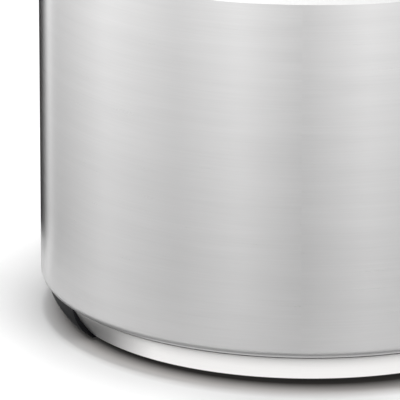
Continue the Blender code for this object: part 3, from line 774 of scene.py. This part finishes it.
@dataclass
class Base:
    """Black base dish with its metal front trim and rubber feet."""

    floor: float = 1.7
    bottom_radius: float = 125.6
    top_radius: float = 131.8
    top: float = 16.8
    bulge: float = 1.0
    trim_low: float = 3.0
    trim_radius: float = 122.1
    trim_half_angle: float = 61.0
    trim_corner: float = 5.0
    gap: float = 0.3
    vent_half: float = 26.0
    vent_wide: float = 3.5
    vent_from: float = 40.0
    vent_pitch: float = 9.0
    screw_circle: float = 100.0
    screws_from: float = 20.0
    feet: Sequence[str] = ("foot_rear_right", "foot_rear_left", "foot_front_left",
                           "foot_front_right")

    def side(self) -> list[Point2]:
        """Points up the outside of the base."""
        points = []
        for t in spread(0.0, 1.0, 14):
            swell = self.bulge * 4 * t * (1 - t)
            radius = self.bottom_radius + (self.top_radius - self.bottom_radius) * t + swell
            points.append((radius, self.floor + 2.0 + (self.top - self.floor - 2.0) * t
                           - 0.4 * swell))
        return points

    def trim_point(self, azimuth: float, t: float, depth: float) -> Point3:
        """Point on the trim: t runs 0 to 1 up its face, depth is measured inward."""
        height = self.trim_low + (self.top - 0.2 - self.trim_low) * t
        radius = (self.trim_radius + (self.top_radius - 0.6 - self.trim_radius) * t
                  + 2.0 * t * (1 - t) - depth)
        return at_azimuth(radius, azimuth, height)

    def trim_panel(self, name: str, grow: float, inner: float, outer: float,
                   top: float, drop: float = 0.0) -> Piece:
        """Build the trim's curved panel, or a larger one to cut its recess.

        Args:
            name: the piece's name.
            grow: margin added round its edges.
            inner: depth of its back.
            outer: depth of its face.
            top: height parameter of its upper edge.
            drop: how much further down it starts.

        Returns:
            The panel.
        """
        rise = self.top - 0.2 - self.trim_low
        reach = self.trim_half_angle + math.degrees(grow / self.trim_radius)
        corner = math.degrees(self.trim_corner / self.trim_radius)
        ends = [reach - corner * (1 - math.cos(math.radians(a))) for a in range(90, -1, -10)]
        azimuths = [-a for a in reversed(ends)] + spread(-ends[0], ends[0], 90)[1:-1] + ends
        sections = []
        for azimuth in azimuths:
            inside = self.trim_corner - math.radians(reach - abs(azimuth)) * self.trim_radius
            lift = 0.0
            if inside > 0:
                lift = self.trim_corner - math.sqrt(
                    max(0.0, self.trim_corner ** 2 - inside ** 2))
            rows = spread((lift - grow - drop) / rise, top, 10)
            sections.append([self.trim_point(azimuth, t, outer) for t in rows]
                            + [self.trim_point(azimuth, t, inner) for t in reversed(rows)])
        return loft(name, sections)

    def build(self) -> None:
        """Build the housing, trim and feet."""
        outline = rounded([
            (0, self.floor), (self.bottom_radius - 2.4, self.floor, 0.8),
            *[(*point, 0.5 if i == 0 else 0.0) for i, point in enumerate(self.side())],
            (130.4, self.top), (130.4, 33), (127.6, 33),
            (127.6, 17), (121, 7, 2), (118, 4.7), (0, 4.7)])
        housing = turned("base_dish", outline)
        recess = self.trim_panel("recess", self.gap, 1.0 + self.gap, -12.0, 1.1, 1.1)
        half = self.vent_wide / 2
        rows = [sign * (self.vent_from + self.vent_pitch * i) for i in range(4) for sign in (-1, 1)]
        vents = [block("vent", (-self.vent_half, y - half, 0), (self.vent_half, y + half, 6))
                 for y in rows]
        turns = [math.radians(self.screws_from + 90 * i) for i in range(4)]
        sinks = [rod("sink", 3.7, 0, 4.4, 32, shifted(self.screw_circle * math.cos(turn),
                                                      self.screw_circle * math.sin(turn)))
                 for turn in turns]
        places = {node: shifted(*node_centre(node)[:2]) for node in self.feet}
        pockets = [rod("pocket", 9.4, 0, 3.7, 40, place) for place in places.values()]
        carve(housing, recess, *vents, *sinks, *pockets)
        install(housing, BODY, BLACK, "black_plastic", "base_housing")
        trim = softened(self.trim_panel("front_trim", 0.0, 1.0, 0.0, 1.0), 0.3, 3)
        install(trim, BODY, TRIM_METAL, "satin_metal", "base_front_trim")
        pad = rounded([(0, 0), (7.4, 0, 0.6), (9.0, 1.0, 0.4), (9.0, 3.4, 0.3), (0, 3.4)])
        groove = [(3.2, 0.5), (3.2, -0.2), (5.0, -0.2), (5.0, 0.5)]
        for node, place in places.items():
            foot = turned(node.replace("foot", "pad"), pad, 64, place)
            install(carve(foot, turned("ring", groove, 64, place)), BODY, RUBBER, "rubber", node)


@dataclass
class Fascia:
    """White control fascia with its window, display and keys."""

    radius: float = 135.4
    wall: float = 1.9
    bottom: float = 197.5
    top: float = 243.5
    half_angle: float = 38.0
    window_half: float = 30.0
    window_low: float = 212.0
    window_high: float = 231.0
    digit_wide: float = 6.0
    digit_tall: float = 10.5
    bar_thick: float = 1.1
    bar_gap: float = 0.15
    keys: Sequence[tuple[str, float, float, float, float]] = (
        ("menu", -21.0, 229.0, 17.0, 8.0), ("timer", -21.0, 213.0, 17.0, 8.0),
        ("hour", -6.0, 205.0, 11.0, 5.5), ("minute", 6.0, 205.0, 11.0, 5.5),
        ("warm", 21.0, 213.0, 17.0, 8.0), ("start", 21.0, 229.0, 17.0, 8.0))

    def edge(self, azimuth: float) -> float:
        """Height of the fascia's lower edge: almost level, then up to its ends."""
        s = min(abs(azimuth) / self.half_angle, 1.0)
        return self.bottom - 2.4 * s ** 2 + (self.top - self.bottom - 1.6) * s ** 7

    def azimuths(self) -> list[float]:
        """Columns of the fascia, closer together towards its ends."""
        half = [self.half_angle * (1 - (1 - t) ** 1.6) for t in spread(0.0, 1.0, 44)]
        return [-a for a in reversed(half[1:])] + half

    def panel(self, name: str, grow: float, inner: float, outer: float,
              rows: int = 12) -> Piece:
        """Build the fascia's curved panel, or one to cut its recess.

        Args:
            name: the piece's name.
            grow: margin added round its edges.
            inner: radius of its back.
            outer: radius of its face.
            rows: steps up its face.

        Returns:
            The panel.
        """
        sections = []
        for azimuth in self.azimuths():
            place = azimuth + math.degrees(grow / self.radius) * azimuth / self.half_angle
            heights = spread(self.edge(azimuth) - grow, self.top + grow, rows)
            sections.append([at_azimuth(outer, place, z) for z in heights]
                            + [at_azimuth(inner, place, z) for z in reversed(heights)])
        return loft(name, sections)

    def slab(self, name: str, azimuth: float, size: Point2, corner: float, height: float,
             depths: Sequence[Point2]) -> Piece:
        """Build a rounded rectangular block that faces outward.

        Args:
            name: the piece's name.
            azimuth: where it stands, in degrees from the front.
            size: its width and height.
            corner: radius of its corners.
            height: height of its centre.
            depths: (radius from the drum's axis, margin) of each section.

        Returns:
            The block.
        """
        sections = []
        for radius, margin in depths:
            half, rise = size[0] / 2 + margin, size[1] / 2 + margin
            bend = max(0.2, min(corner + margin, half - 0.01, rise - 0.01))
            ring = []
            for cx, cz, start in ((half - bend, rise - bend, 0), (bend - half, rise - bend, 90),
                                  (bend - half, bend - rise, 180), (half - bend, bend - rise, 270)):
                for k in range(7):
                    turn = math.radians(start + 15 * k)
                    ring.append((cx + bend * math.cos(turn), cz + bend * math.sin(turn)))
            angle = math.radians(azimuth)
            c, s = math.cos(angle), math.sin(angle)
            sections.append([(c * u + s * radius, s * u - c * radius, height + v)
                             for u, v in ring])
        return loft(name, sections)

    def build(self) -> None:
        """Build the fascia, window, display and keys."""
        panel = self.panel("fascia_panel", 0.0, self.radius - self.wall, self.radius)
        openings = [block("window_cut", (-self.window_half - 0.3, -145, self.window_low - 0.3),
                          (self.window_half + 0.3, -120, self.window_high + 0.3)),
                    block("release_cut", (-22.4, -150, 234.3), (22.4, -120, 250))]
        for name, azimuth, height, width, tall in self.keys:
            openings.append(self.slab(f"cut_{name}", azimuth, (width, tall), tall / 2 - 0.3,
                                      height, [(125, 0.35), (145, 0.35)]))
        carve(panel, *openings)
        install(softened(panel, 0.25, 2, 55), BODY, WHITE, "white_plastic", "control_fascia")
        self.window()
        self.display()
        for key in self.keys:
            self.key(*key)

    def window(self) -> None:
        """Build the smoked window and the slim frame behind its edge."""
        def band(name: str, half: float, low: float, high: float, r0: float,
                 r1: float) -> Piece:
            """Curved strip between two radii."""
            sections = []
            for x in spread(-half, half, 24):
                y0, y1 = -math.sqrt(r0 * r0 - x * x), -math.sqrt(r1 * r1 - x * x)
                sections.append([(x, y1, low), (x, y1, high), (x, y0, high), (x, y0, low)])
            return loft(name, sections)
        glass = band("display_pane", self.window_half, self.window_low, self.window_high,
                     self.radius - self.wall, self.radius - 0.2)
        install(softened(glass, 0.3, 3), BODY, SMOKED, "smoked_window", "display_window")
        bezel = band("display_bezel", self.window_half - 0.5, self.window_low + 0.5,
                     self.window_high - 0.5, self.radius - 3.4, self.radius - self.wall - 0.1)
        hole = block("bezel_cut", (-25, -145, 214.5), (25, -120, 228.5))
        install(carve(bezel, hole), BODY, BLACK, "smoked_window")

    def display(self) -> None:
        """Build the display and a clock reading in seven-bar digits."""
        low, high = node_box("display_module")
        module = copied("display_module", "display_cell", 0.3)
        install(module, BODY, LCD, "display_glass", "display_module")
        face = low.y - 0.05
        bars = {"1": "bc", "2": "abged", "0": "abcdef"}
        middle = (low.z + high.z) / 2
        foot = middle - self.digit_tall / 2
        parts = []
        for digit, left in zip("1200", (-17.5, -9.0, 3.0, 11.5)):
            for bar in bars[digit]:
                x0, x1, z0, z1 = self.bar(bar)
                parts.append(block("bar", (left + x0, face, foot + z0),
                                   (left + x1, face + 0.15, foot + z1)))
        for z in (-2.2, 2.2):
            parts.append(block("dot", (-0.6, face, middle + z - 0.6),
                               (0.6, face + 0.15, middle + z + 0.6)))
        install(joined("display_digits", parts), BODY, LCD_INK, "display_glass")

    def bar(self, bar: str) -> tuple[float, ...]:
        """Give the box of one bar of a seven-bar digit: x0, x1, z0, z1."""
        wide, thick, gap = self.digit_wide, self.bar_thick, self.bar_gap
        half = self.digit_tall / 2
        flat = {"a": self.digit_tall - thick, "g": half - thick / 2, "d": 0.0}
        if bar in flat:
            return (thick + gap, wide - thick - gap, flat[bar], flat[bar] + thick)
        x0 = 0.0 if bar in "ef" else wide - thick
        z0 = half if bar in "bf" else 0.0
        return (x0, x0 + thick, z0 + gap + thick / 2, z0 + half - gap - thick / 2)

    def key(self, name: str, azimuth: float, height: float, width: float, tall: float) -> None:
        """Build one push key with a domed cap.

        Args:
            name: the key's name.
            azimuth: degrees from the front.
            height: height of its centre.
            width: its width.
            tall: its height.
        """
        inside = self.radius - self.wall
        face = self.radius + 1.0
        depths = [(inside - 1.8, 1.0), (inside - 0.6, 1.0), (inside - 0.6, 0.0), (face - 0.5, 0.0),
                  (face - 0.2, -0.12), (face, -0.5), (face + 0.12, -1.2), (face + 0.15, -2.0)]
        cap = self.slab(f"key_{name}_cap", azimuth, (width, tall), tall / 2 - 0.3, height, depths)
        look = KEY_ORANGE if name == "start" else KEY_WHITE
        install(cap, f"key_{name}", look, "grey_plastic", f"button_{name}")


@dataclass
class Drum:
    """Steel drum with its turned-in lower lip, and the white collar on it."""

    fascia: Fascia
    radius: float = 135.0
    wall: float = 1.0
    bend: float = 4.6
    bend_from: float = 21.6
    lip: float = 17.3
    top: float = 226.0
    collar_radius: float = 135.5
    collar_top: float = 245.6

    def build(self) -> None:
        """Build the drum and the collar."""
        centre = self.radius - self.bend
        drop = math.degrees(math.asin((self.bend_from - self.lip) / self.bend))
        angles = [math.radians(a) for a in spread(0.0, drop, 9)]
        outer = [(centre + self.bend * math.cos(a), self.bend_from - self.bend * math.sin(a))
                 for a in angles]
        thin = self.bend - self.wall
        inner = [(centre + thin * math.cos(a), self.bend_from - thin * math.sin(a))
                 for a in reversed(angles)]
        inner.append((self.radius - self.wall, self.bend_from + 1))
        outline = ([(self.radius, self.top), (self.radius, self.top - 1)]
                   + [(self.radius, z) for z in spread(190, self.bend_from + 1, 6)] + outer
                   + inner + [(self.radius - self.wall, self.top)])
        drum = turned("drum_shell", outline, 288)
        notch = self.fascia.panel("notch", -0.6, self.radius - 5, self.radius + 5, 1)
        low, high = node_box("power_inlet")
        socket = block("socket", (low.x + 3.6, 112, low.z + 3.6), (high.x - 3.6, 140, high.z - 3.6))
        carve(drum, notch, socket)
        install(drum, BODY, STEEL, "brushed_steel", "outer_drum")
        self.collar()

    def collar(self) -> None:
        """Build the white collar with its latch slot and fascia recess."""
        outline = rounded([
            (self.collar_radius, self.top + 0.4, 0.5), (self.collar_radius, self.collar_top, 1.8),
            (122.9, self.collar_top, 1.4), (122.4, 238.4, 0.3), (118.0, 238.4), (118.0, 235.6),
            (130.6, 235.6), (130.6, 214.0), (133.2, 214.0), (133.2, self.top + 0.4)])
        collar = turned("collar_ring", outline)
        inside = self.fascia.radius - self.fascia.wall - 0.3
        carve(collar, block("button_pocket", (-23, -138, 233.9), (23, -131.9, 243.3)),
              block("hook_pocket", (-8, -134, 233.9), (8, -124.2, 243.3)),
              block("hook_slot", (-4.6, -133.1, 241.5), (4.6, -124.4, 247)),
              block("spring_pocket", (10.8, -134, 236), (15.2, -124.2, 240.4)),
              block("space", (-70, -140, 190), (70, -104, 235.4)),
              self.fascia.panel("collar_cut", 0.15, inside, 145, 1))
        install(collar, BODY, WHITE, "white_plastic", "upper_collar")


@dataclass
class Chamber:
    """Cooking pot, liner and heating plate."""

    radius: float = 109.0
    rim: float = 242.0
    floor: float = 94.8

    def build(self) -> None:
        """Build the pot and the liner's rim, and dress the heaters."""
        outline = rounded([
            (0, 92.4), (96, 92.4, 14), (110.8, 100, 9), (110.8, 240.4, 0.4), (118.5, 240.4, 0.5),
            (118.5, self.rim, 0.7), (self.radius, self.rim, 0.9), (self.radius, 101, 8),
            (96, self.floor, 12), (0, self.floor)], 8.0)
        pot = turned("cooking_pot", outline)
        install(pot, BODY, COATING, "non_stick", "inner_pot")
        self.marks()
        liner = rounded([(114.5, 70), (114.5, 238.7), (121.9, 238.7, 0.2), (121.9, 239.8, 0.3),
                         (113.5, 239.8, 0.5), (113.5, 71.2), (78, 71.2), (78, 70)])
        install(turned("liner_can", liner, 128), BODY, ZINC, "zinc_sheet", "inner_liner")
        plate = rounded([(84, 71.6), (84, 92, 1.5), (19.2, 92, 0.8), (19.2, 78.2), (80, 78.2),
                         (80, 71.6)])
        install(turned("cast_plate", plate, 128), BODY, CAST, "cast_aluminium", "heating_plate")
        cap = rounded([(0, 92), (17.6, 92, 1.2), (17.6, 80), (16.1, 80), (16.1, 89.6), (0, 89.6)])
        install(turned("sensor_button", cap, 64), "sensor", CAST, "cast_aluminium", "sensor_cap")

    def marks(self) -> None:
        """Build the water-level lines on the pot's inner wall."""
        parts = []
        for i, z in enumerate(spread(118, 214, 8)):
            half = 9.0 if i % 2 == 0 else 5.5
            for centre in (40.0, -140.0):
                sections = []
                for a in spread(centre - half, centre + half, 12):
                    ring = [(self.radius + 0.05, z - 0.4), (self.radius + 0.05, z + 0.4),
                            (self.radius - 0.12, z + 0.4), (self.radius - 0.12, z - 0.4)]
                    sections.append([at_azimuth(r, 180 + a, h) for r, h in ring])
                parts.append(loft("line", sections))
        install(joined("level_lines", parts), BODY, MARK_GREY, "non_stick")


@dataclass
class Lid:
    """Hinged lid with its steel disc, steam vent and inner lid."""

    radius: float = 135.5
    wall: float = 2.2
    low: float = 246.4
    crown: float = 278.0
    disc: float = 96.0
    disc_edge: float = 273.3
    vent_y: float = 58.0
    vent_radius: float = 10.0

    def vent_bore(self) -> Piece:
        """Give a rod that bores the vent's hole through the lid's top."""
        return rod("vent_bore", self.vent_radius, 260, 290, 64, shifted(0, self.vent_y))

    def dome(self, radius: float) -> float:
        """Height of the lid's top at a radius."""
        return self.crown - (self.crown - self.disc_edge) * (radius / (self.disc + 0.4)) ** 2

    def shoulder(self) -> list[Sequence[float]]:
        """Corners from the lid's lower edge over to the steel disc, with their fillets."""
        return [(self.radius, self.low, 0.6), (self.radius, 252.8, 8), (131.6, 262.2, 14),
                (124.0, 267.0, 30), (112.0, 270.8, 40),
                (self.disc + 0.4, self.disc_edge + 0.1, 0.5)]

    def build(self) -> None:
        """Build the casing, disc, frame, inner lid, gasket and vent."""
        inside = self.radius - self.wall
        recess = [(r, self.dome(r) - 1.3) for r in (self.disc + 0.4, 72, 48, 24, 0)]
        under = [(r, self.dome(r) - 3.6) for r in (0, 48, self.disc - 4)]
        under += [(110, 268.0), (122, 264.0), (129.4, 259.4), (132.3, 255.4), (inside, 251.6),
                  (inside, self.low)]
        casing = turned("lid_casing", rounded([*self.shoulder(), *recess, *under], 5.0))
        carve(casing, block("hinge_notch", (-26.8, 130.6, 245), (26.8, 145, 256.6)),
              self.vent_bore())
        for side, low in (("right", 14.0), ("left", -19.6)):
            lug = prism(f"lug_{side}", Hinge.lug([(128.0, 257.6), (128.0, 254.4), (131.0, 250.0)]),
                        low, low + 5.6)
            carve(casing, lug, operation="UNION")
        install(casing, "lid", WHITE, "white_plastic", "lid_outer")
        top = [(r, self.dome(r)) for r in spread(self.disc - 1.0, 0, 12)]
        under_disc = [(r, self.dome(r) - 0.9) for r in spread(0, self.disc, 8)]
        edge = [(self.disc - 0.15, self.dome(self.disc) - 0.45)]
        disc = turned("lid_disc", top + under_disc + edge)
        carve(disc, self.vent_bore())
        install(disc, "lid", SPUN_STEEL, "brushed_steel", "lid_top_plate")
        self.inside()
        self.vent()

    def inside(self) -> None:
        """Build the frame, inner lid and gasket."""
        frame_outline = rounded([(132.6, 246.8, 0.3), (132.6, 249.0), (0, 249.0), (0, 246.8),
                                 (118, 246.8), (120, 245.9, 0.4), (122, 246.8)])
        under = turned("lid_underframe", frame_outline)
        carve(under, block("hinge_gap", (-26.8, 130.4, 240), (26.8, 145, 256)),
              block("hook_gap", (-6, -140, 240), (6, -124, 256)))
        install(under, "lid", PALE_GREY, "grey_plastic", "lid_frame")
        plate = rounded([(116, 243.8, 0.2), (116, 244.6, 0.2), (98, 244.6, 3), (91, 246.2, 3),
                         (0, 246.2), (0, 245.4), (90.6, 245.4, 3), (97.6, 243.8, 3)])
        inner = turned("steam_plate", plate)
        bores = [rod("bore", 2.2, 240, 250, 32, shifted(x, self.vent_y)) for x in (-8, 0, 8)]
        install(carve(inner, *bores), "lid", SPUN_STEEL, "brushed_steel", "inner_lid")
        ring = rounded([(117.6, 242.4, 0.3), (117.6, 243.5, 0.3), (107, 243.5, 0.2),
                        (107, 242.9, 0.2), (112, 242.4, 1)])
        install(turned("lid_seal", ring), "lid", SILICONE, "silicone", "lid_gasket")

    def vent(self) -> None:
        """Build the steam tube and its cap."""
        tube = rounded([(8.6, 249.4), (8.6, 276.6, 0.4), (6.8, 276.6, 0.4), (6.8, 249.4)])
        install(turned("steam_sleeve", tube, 64, shifted(0, self.vent_y)), "lid", SILICONE,
                "silicone", "steam_tube")
        cap = rounded([(0, 262), (6, 262, 0.8), (6, 277.6), (15, 277.6, 0.5), (15.6, 279.0, 2),
                       (14.6, 282.0, 1.6), (11, 283.0, 1.2), (9, 282.2, 1), (0, 282.2)])
        piece = turned("vent_knob", cap, COARSE, shifted(0, self.vent_y))
        slots = []
        for i in range(8):
            slot = block(f"slot{i}", (-1.3, -17, 278.8), (1.3, -6.5, 280.6))
            slot.data.transform(Matrix.Translation((0, self.vent_y * MM, 0))
                                @ Matrix.Rotation(math.radians(45 * i), 4, "Z"))
            slots.append(slot)
        install(carve(piece, *slots), "vent_cap", GREY, "grey_plastic", "steam_vent_cap")


@dataclass
class Hinge:
    """Lid hinge, latch and release button."""

    y: float = 136.8
    z: float = 251.2
    knuckle: float = 4.6

    @classmethod
    def lug(cls, tail: Sequence[Point2]) -> list[Point2]:
        """Outline of a lid lug in (y, z), round about the hinge axis."""
        arc = []
        for degrees in spread(-150, 140, 26):
            turn = math.radians(degrees)
            arc.append((cls.y + cls.knuckle * math.cos(turn), cls.z + cls.knuckle * math.sin(turn)))
        return arc + list(tail)

    def build(self) -> None:
        """Build the bracket, pin ends, hook and release button."""
        install(copied("hinge_bracket", "hinge_yoke", 0.35), BODY, WHITE, "white_plastic",
                "hinge_bracket")
        outline = rounded([(-134.3, 243.0, 0.3), (-143.0, 243.0, 3), (-147.0, 240.4, 2.2),
                           (-146.4, 236.4, 2.0), (-143.6, 234.8, 0.8), (-134.3, 234.8, 0.3)])
        button = prism("release_bar", outline, -22.0, 22.0)
        tongue = block("tongue", (-7, -135, 234.8), (7, -130.9, 237.0))
        carve(button, tongue, operation="UNION")
        install(softened(button, 0.8, 4, 50), "release", PALE_GREY, "grey_plastic",
                "release_button")
        install(copied("latch_hook", "hook_lever", 0.25), "hook", DARK_STEEL, "dark_steel",
                "latch_hook")


@dataclass
class Handle:
    """Carry handle folded behind the lid, and its pivots."""

    z: float = 236.0
    reach_x: float = 145.75
    reach_y: float = 147.0
    power: float = 2.3          # how square the bail's curve is; 2 is an ellipse
    half_thick: float = 2.75
    half_tall: float = 5.5
    corner: float = 1.6
    slim_over: float = 20.0     # degrees over which the bail slims towards each eye
    eye_radius: float = 9.5
    eye_bore: float = 4.4

    def build(self) -> None:
        """Build the bail with its eyes, and the pivots."""
        sections = []
        for a in spread(0, 180, 120):
            angle = math.radians(a)
            c, s = math.cos(angle), math.sin(angle)
            x = self.reach_x * math.copysign(abs(c) ** (2 / self.power), c)
            y = self.reach_y * abs(s) ** (2 / self.power)
            out = Vector((x, y, 0)).normalized()
            rise = self.half_tall - max(0.0, 1 - a / self.slim_over,
                                        1 - (180 - a) / self.slim_over)
            profile = rounded([(side * self.half_thick, end * rise, self.corner)
                               for side, end in ((-1, -1), (1, -1), (1, 1), (-1, 1))], 18.0, 4.0)
            sections.append([(x + out.x * u, y + out.y * u, self.z + v) for u, v in profile])
        bail = loft("carry_bail", sections)
        for side, start in (("right", 141.4), ("left", -148.6)):
            disc = rounded([(0, 0), (self.eye_radius, 0, 1), (self.eye_radius, 7.2, 1), (0, 7.2)])
            eye = turned(f"eye_{side}", disc, 64, along_x(start, 0, self.z))
            carve(bail, eye, operation="UNION")
        carve(bail, rod("eye_bores", self.eye_bore, -160, 160, 64, along_x(0, 0, self.z)))
        install(bail, "handle", BLACK_GRAIN, "black_plastic", "carry_handle")
        for side, sign in (("right", 1), ("left", -1)):
            outline = rounded([(0, 135.9), (8, 135.9, 0.4), (8, 141, 0.4), (4, 141), (4, 149),
                               (8.6, 149, 0.4), (8.6, 151.6, 1.2), (5.2, 151.6, 0.3),
                               (4.8, 151.0, 0.3), (0, 151.0)])
            outline = [(r, sign * h) for r, h in outline]
            install(turned(f"pivot_{side}", outline, 64, along_x(0, 0, self.z)), BODY, BLACK,
                    "black_plastic", f"handle_pivot_{side}")


@dataclass
class Back:
    """Condensate cup and mains inlet on the back of the drum."""

    def build(self) -> None:
        """Build the cup and the inlet with its pins."""
        install(copied("condensate_cup", "drip_cup_shell", 0.4), "drip_cup", FROSTED, "clear_cup",
                "condensate_cup")
        install(copied("power_inlet", "inlet_frame", 0.4), BODY, BLACK_GRAIN, "black_plastic",
                "power_inlet")
        middle, _, height = node_centre("power_inlet")
        blades = [softened(block("blade", (middle + x - 1.6, 120, height - 3.0),
                                 (middle + x + 1.6, 132, height + 3.0)), 0.6) for x in (-7, 7)]
        install(joined("inlet_blades", blades), BODY, SPRING, "spring_steel")


@dataclass
class Studio:
    """Pale floor with a shadow painted round the object's foot, soft lights and the camera."""

    azimuth: float = 1.3
    elevation: float = 18.84
    distance: float = 3.240
    lens: float = 575.6
    aim_left: float = 0.0547
    aim_up: float = 0.0311
    target: Point3 = (0.0, 0.0, 0.0216)
    ambient: float = 0.16
    floor_radius: float = 60000.0
    lamp_aim: float = 0.12      # height that the lamps face, in metres
    room_radius: float = 200.0
    room_height: float = 420.0
    ring_height: float = 0.8
    foot_ring: Point2 = (100.0, 134.0)
    shade_ring: Point2 = (134.0, 149.0)
    lamps: Sequence[tuple[str, float, float, float, Point2, float]] = (
        ("top", 150.0, 87.5, 2.2, (0.8, 0.8), 50.0),
        ("side", -50.0, 55.0, 1.8, (0.9, 0.9), 13.0),
        ("fill", -10.0, 5.0, 2.2, (1.8, 0.5), 27.0))
    shade_bands: Bands = ((-180.0, 0.25), (0.0, 0.25), (180.0, 0.25))
    wall_bands: Bands = (
        (-180.0, 1.1), (-152.0, 1.0), (-147.0, 0.0), (-112.0, 0.0), (-109.5, 0.08),
        (-107.0, 1.2), (-104.0, 1.85), (-100.5, 0.9), (-96.0, 0.9), (-64.0, 1.4),
        (-37.0, 1.1), (-18.0, 1.33), (0.0, 1.0), (18.0, 1.33), (37.0, 1.1), (64.0, 1.4),
        (90.0, 0.85), (108.0, 0.3), (128.0, 0.12), (142.0, 0.5), (152.0, 1.0), (180.0, 1.1))
    foot_bands: Bands = (
        (-180.0, 0.1), (-60.0, 0.12), (-53.0, 0.22), (-46.0, 0.55), (-38.0, 0.95),
        (-19.0, 1.0), (19.0, 1.0), (38.0, 0.95), (46.0, 0.55), (53.0, 0.22), (60.0, 0.12),
        (180.0, 0.1))
    sky_bands: Bands = (
        (-180.0, 0.9), (-90.0, 1.2), (0.0, 0.7), (90.0, 0.9), (180.0, 0.9))

    def toward(self, azimuth: float, elevation: float) -> Vector:
        """Unit vector from the object to a place at an azimuth and elevation."""
        a, e = math.radians(azimuth), math.radians(elevation)
        return Vector((math.sin(a) * math.cos(e), -math.cos(a) * math.cos(e), math.sin(e)))

    @staticmethod
    def stand(thing: Piece, place: Vector, way: Vector) -> None:
        """Put a lamp or the camera at a place, facing a way."""
        thing.location = place
        thing.rotation_mode = "QUATERNION"
        thing.rotation_quaternion = way.to_track_quat("-Z", "Y")

    def camera(self) -> None:
        """Stand the camera and point it a little left of and above the drum's foot."""
        back = self.toward(self.azimuth, self.elevation)
        right = Vector((0, 0, 1)).cross(back).normalized()
        up = back.cross(right)
        place = Vector(self.target) + back * self.distance
        aim = Vector(self.target) - right * self.aim_left + up * self.aim_up
        data = bpy.data.cameras.new("camera")
        data.lens = self.lens
        data.clip_end = 100.0
        camera = linked("camera", data)
        self.stand(camera, place, aim - place)
        bpy.context.scene.camera = camera

    def lamp(self, name: str, azimuth: float, elevation: float, distance: float,
             size: Point2, power: float) -> None:
        """Hang a soft rectangular light that faces the object.

        Args:
            name: the light's name.
            azimuth: degrees from the front, towards +X.
            elevation: degrees above the floor.
            distance: metres from the object.
            size: its width and height in metres.
            power: its power in watts.
        """
        data = bpy.data.lights.new(name, "AREA")
        data.shape = "RECTANGLE"
        data.size, data.size_y = size
        data.energy = power
        lamp = linked(name, data)
        back = self.toward(azimuth, elevation)
        self.stand(lamp, Vector((0, 0, self.lamp_aim)) + back * distance, -back)
        lamp.visible_camera = False
        lamp.visible_glossy = False

    def card(self, name: str, low: Point2, high: Point2, bands: Bands, foot: float = 1.0,
             head: float = 1.0) -> None:
        """Stand a round card about the object, seen only in its reflections.

        Args:
            name: what the card stands for.
            low: radius and height of its inner or lower edge.
            high: radius and height of its outer or upper edge.
            bands: its brightness round the compass.
            foot: what the bands are multiplied by at the floor.
            head: the same at its upper edge.
        """
        bm = bmesh.new()
        turns = [2 * math.pi * k / FINE for k in range(FINE)]
        inner, outer = ([bm.verts.new((r * math.cos(a), r * math.sin(a), z)) for a in turns]
                        for r, z in (low, high))
        for k in range(FINE):
            bm.faces.new((inner[k - 1], inner[k], outer[k], outer[k - 1]))
        card = make_piece(f"{name}_card", bm)
        look = Glow(f"{name}_glow", (0.0, 0.0, 0.0), 1.0, bands, foot, head, high[1] * MM)
        card.data.materials.append(look.material())
        card.visible_camera = card.visible_diffuse = card.visible_shadow = False
        card.visible_transmission = card.visible_volume_scatter = False

    def floor(self) -> None:
        """Lay a wide pale floor, with a shadow painted into its colour round the object's foot."""
        bm = bmesh.new()
        bmesh.ops.create_circle(bm, cap_ends=True, segments=96, radius=self.floor_radius)
        floor = make_piece("studio_floor", bm)
        # The paper's colour carries a painted contact shadow round the object's foot.
        look = PaintedShadowPaper("studio_paper_painted_shadow", (0.90, 0.90, 0.90), 0.9)
        floor.data.materials.append(look.material())

    def world(self) -> None:
        """Fill the room with even pale light."""
        world = bpy.data.worlds.new("studio")
        world.use_nodes = True
        background = world.node_tree.nodes["Background"]
        background.inputs["Color"].default_value = (1.0, 1.0, 1.0, 1.0)
        background.inputs["Strength"].default_value = self.ambient
        bpy.context.scene.world = world
        bpy.context.scene.view_settings.view_transform = "Standard"

    def build(self) -> None:
        """Build the whole studio."""
        self.floor()
        self.world()
        room, top, low = self.room_radius, self.room_height, self.ring_height
        self.card("wall", (room, 0.0), (room, top), self.wall_bands, 0.72, 1.6)
        self.card("foot", (self.foot_ring[0], low), (self.foot_ring[1], low), self.foot_bands)
        self.card("shade", (self.shade_ring[0], low), (self.shade_ring[1], low), self.shade_bands)
        self.card("sky", (1.0, top), (room, top), self.sky_bands)
        for lamp in self.lamps:
            self.lamp(*lamp)
        self.camera()


def main() -> None:
    """Build the cooker and its studio in order."""
    logging.basicConfig(level=logging.INFO, format="%(message)s")
    fascia = Fascia()
    for part in (Base(), Drum(fascia), fascia, Chamber(), Lid(), Hinge(), Handle(), Back()):
        part.build()
        LOG.info("%s is built", type(part).__name__)
    dress_nodes({
        DARK_STEEL: ("base_screw_1", "base_screw_2", "base_screw_3", "base_screw_4",
                     "power_transformer", "heating_element"),
        ZINC: ("chassis_ring", "support_skirt", "sensor_holder"),
        BOARD: ("control_board", "power_board"),
        BLACK: ("power_relay",),
        CAST: ("side_heater_band",),
        SPRING: ("thermal_fuse", "sensor_spring", "hinge_pin", "hinge_spring", "latch_pin",
                 "latch_spring")})
    Studio().build()
    bpy.context.view_layer.update()


if __name__ == "__main__":
    main()
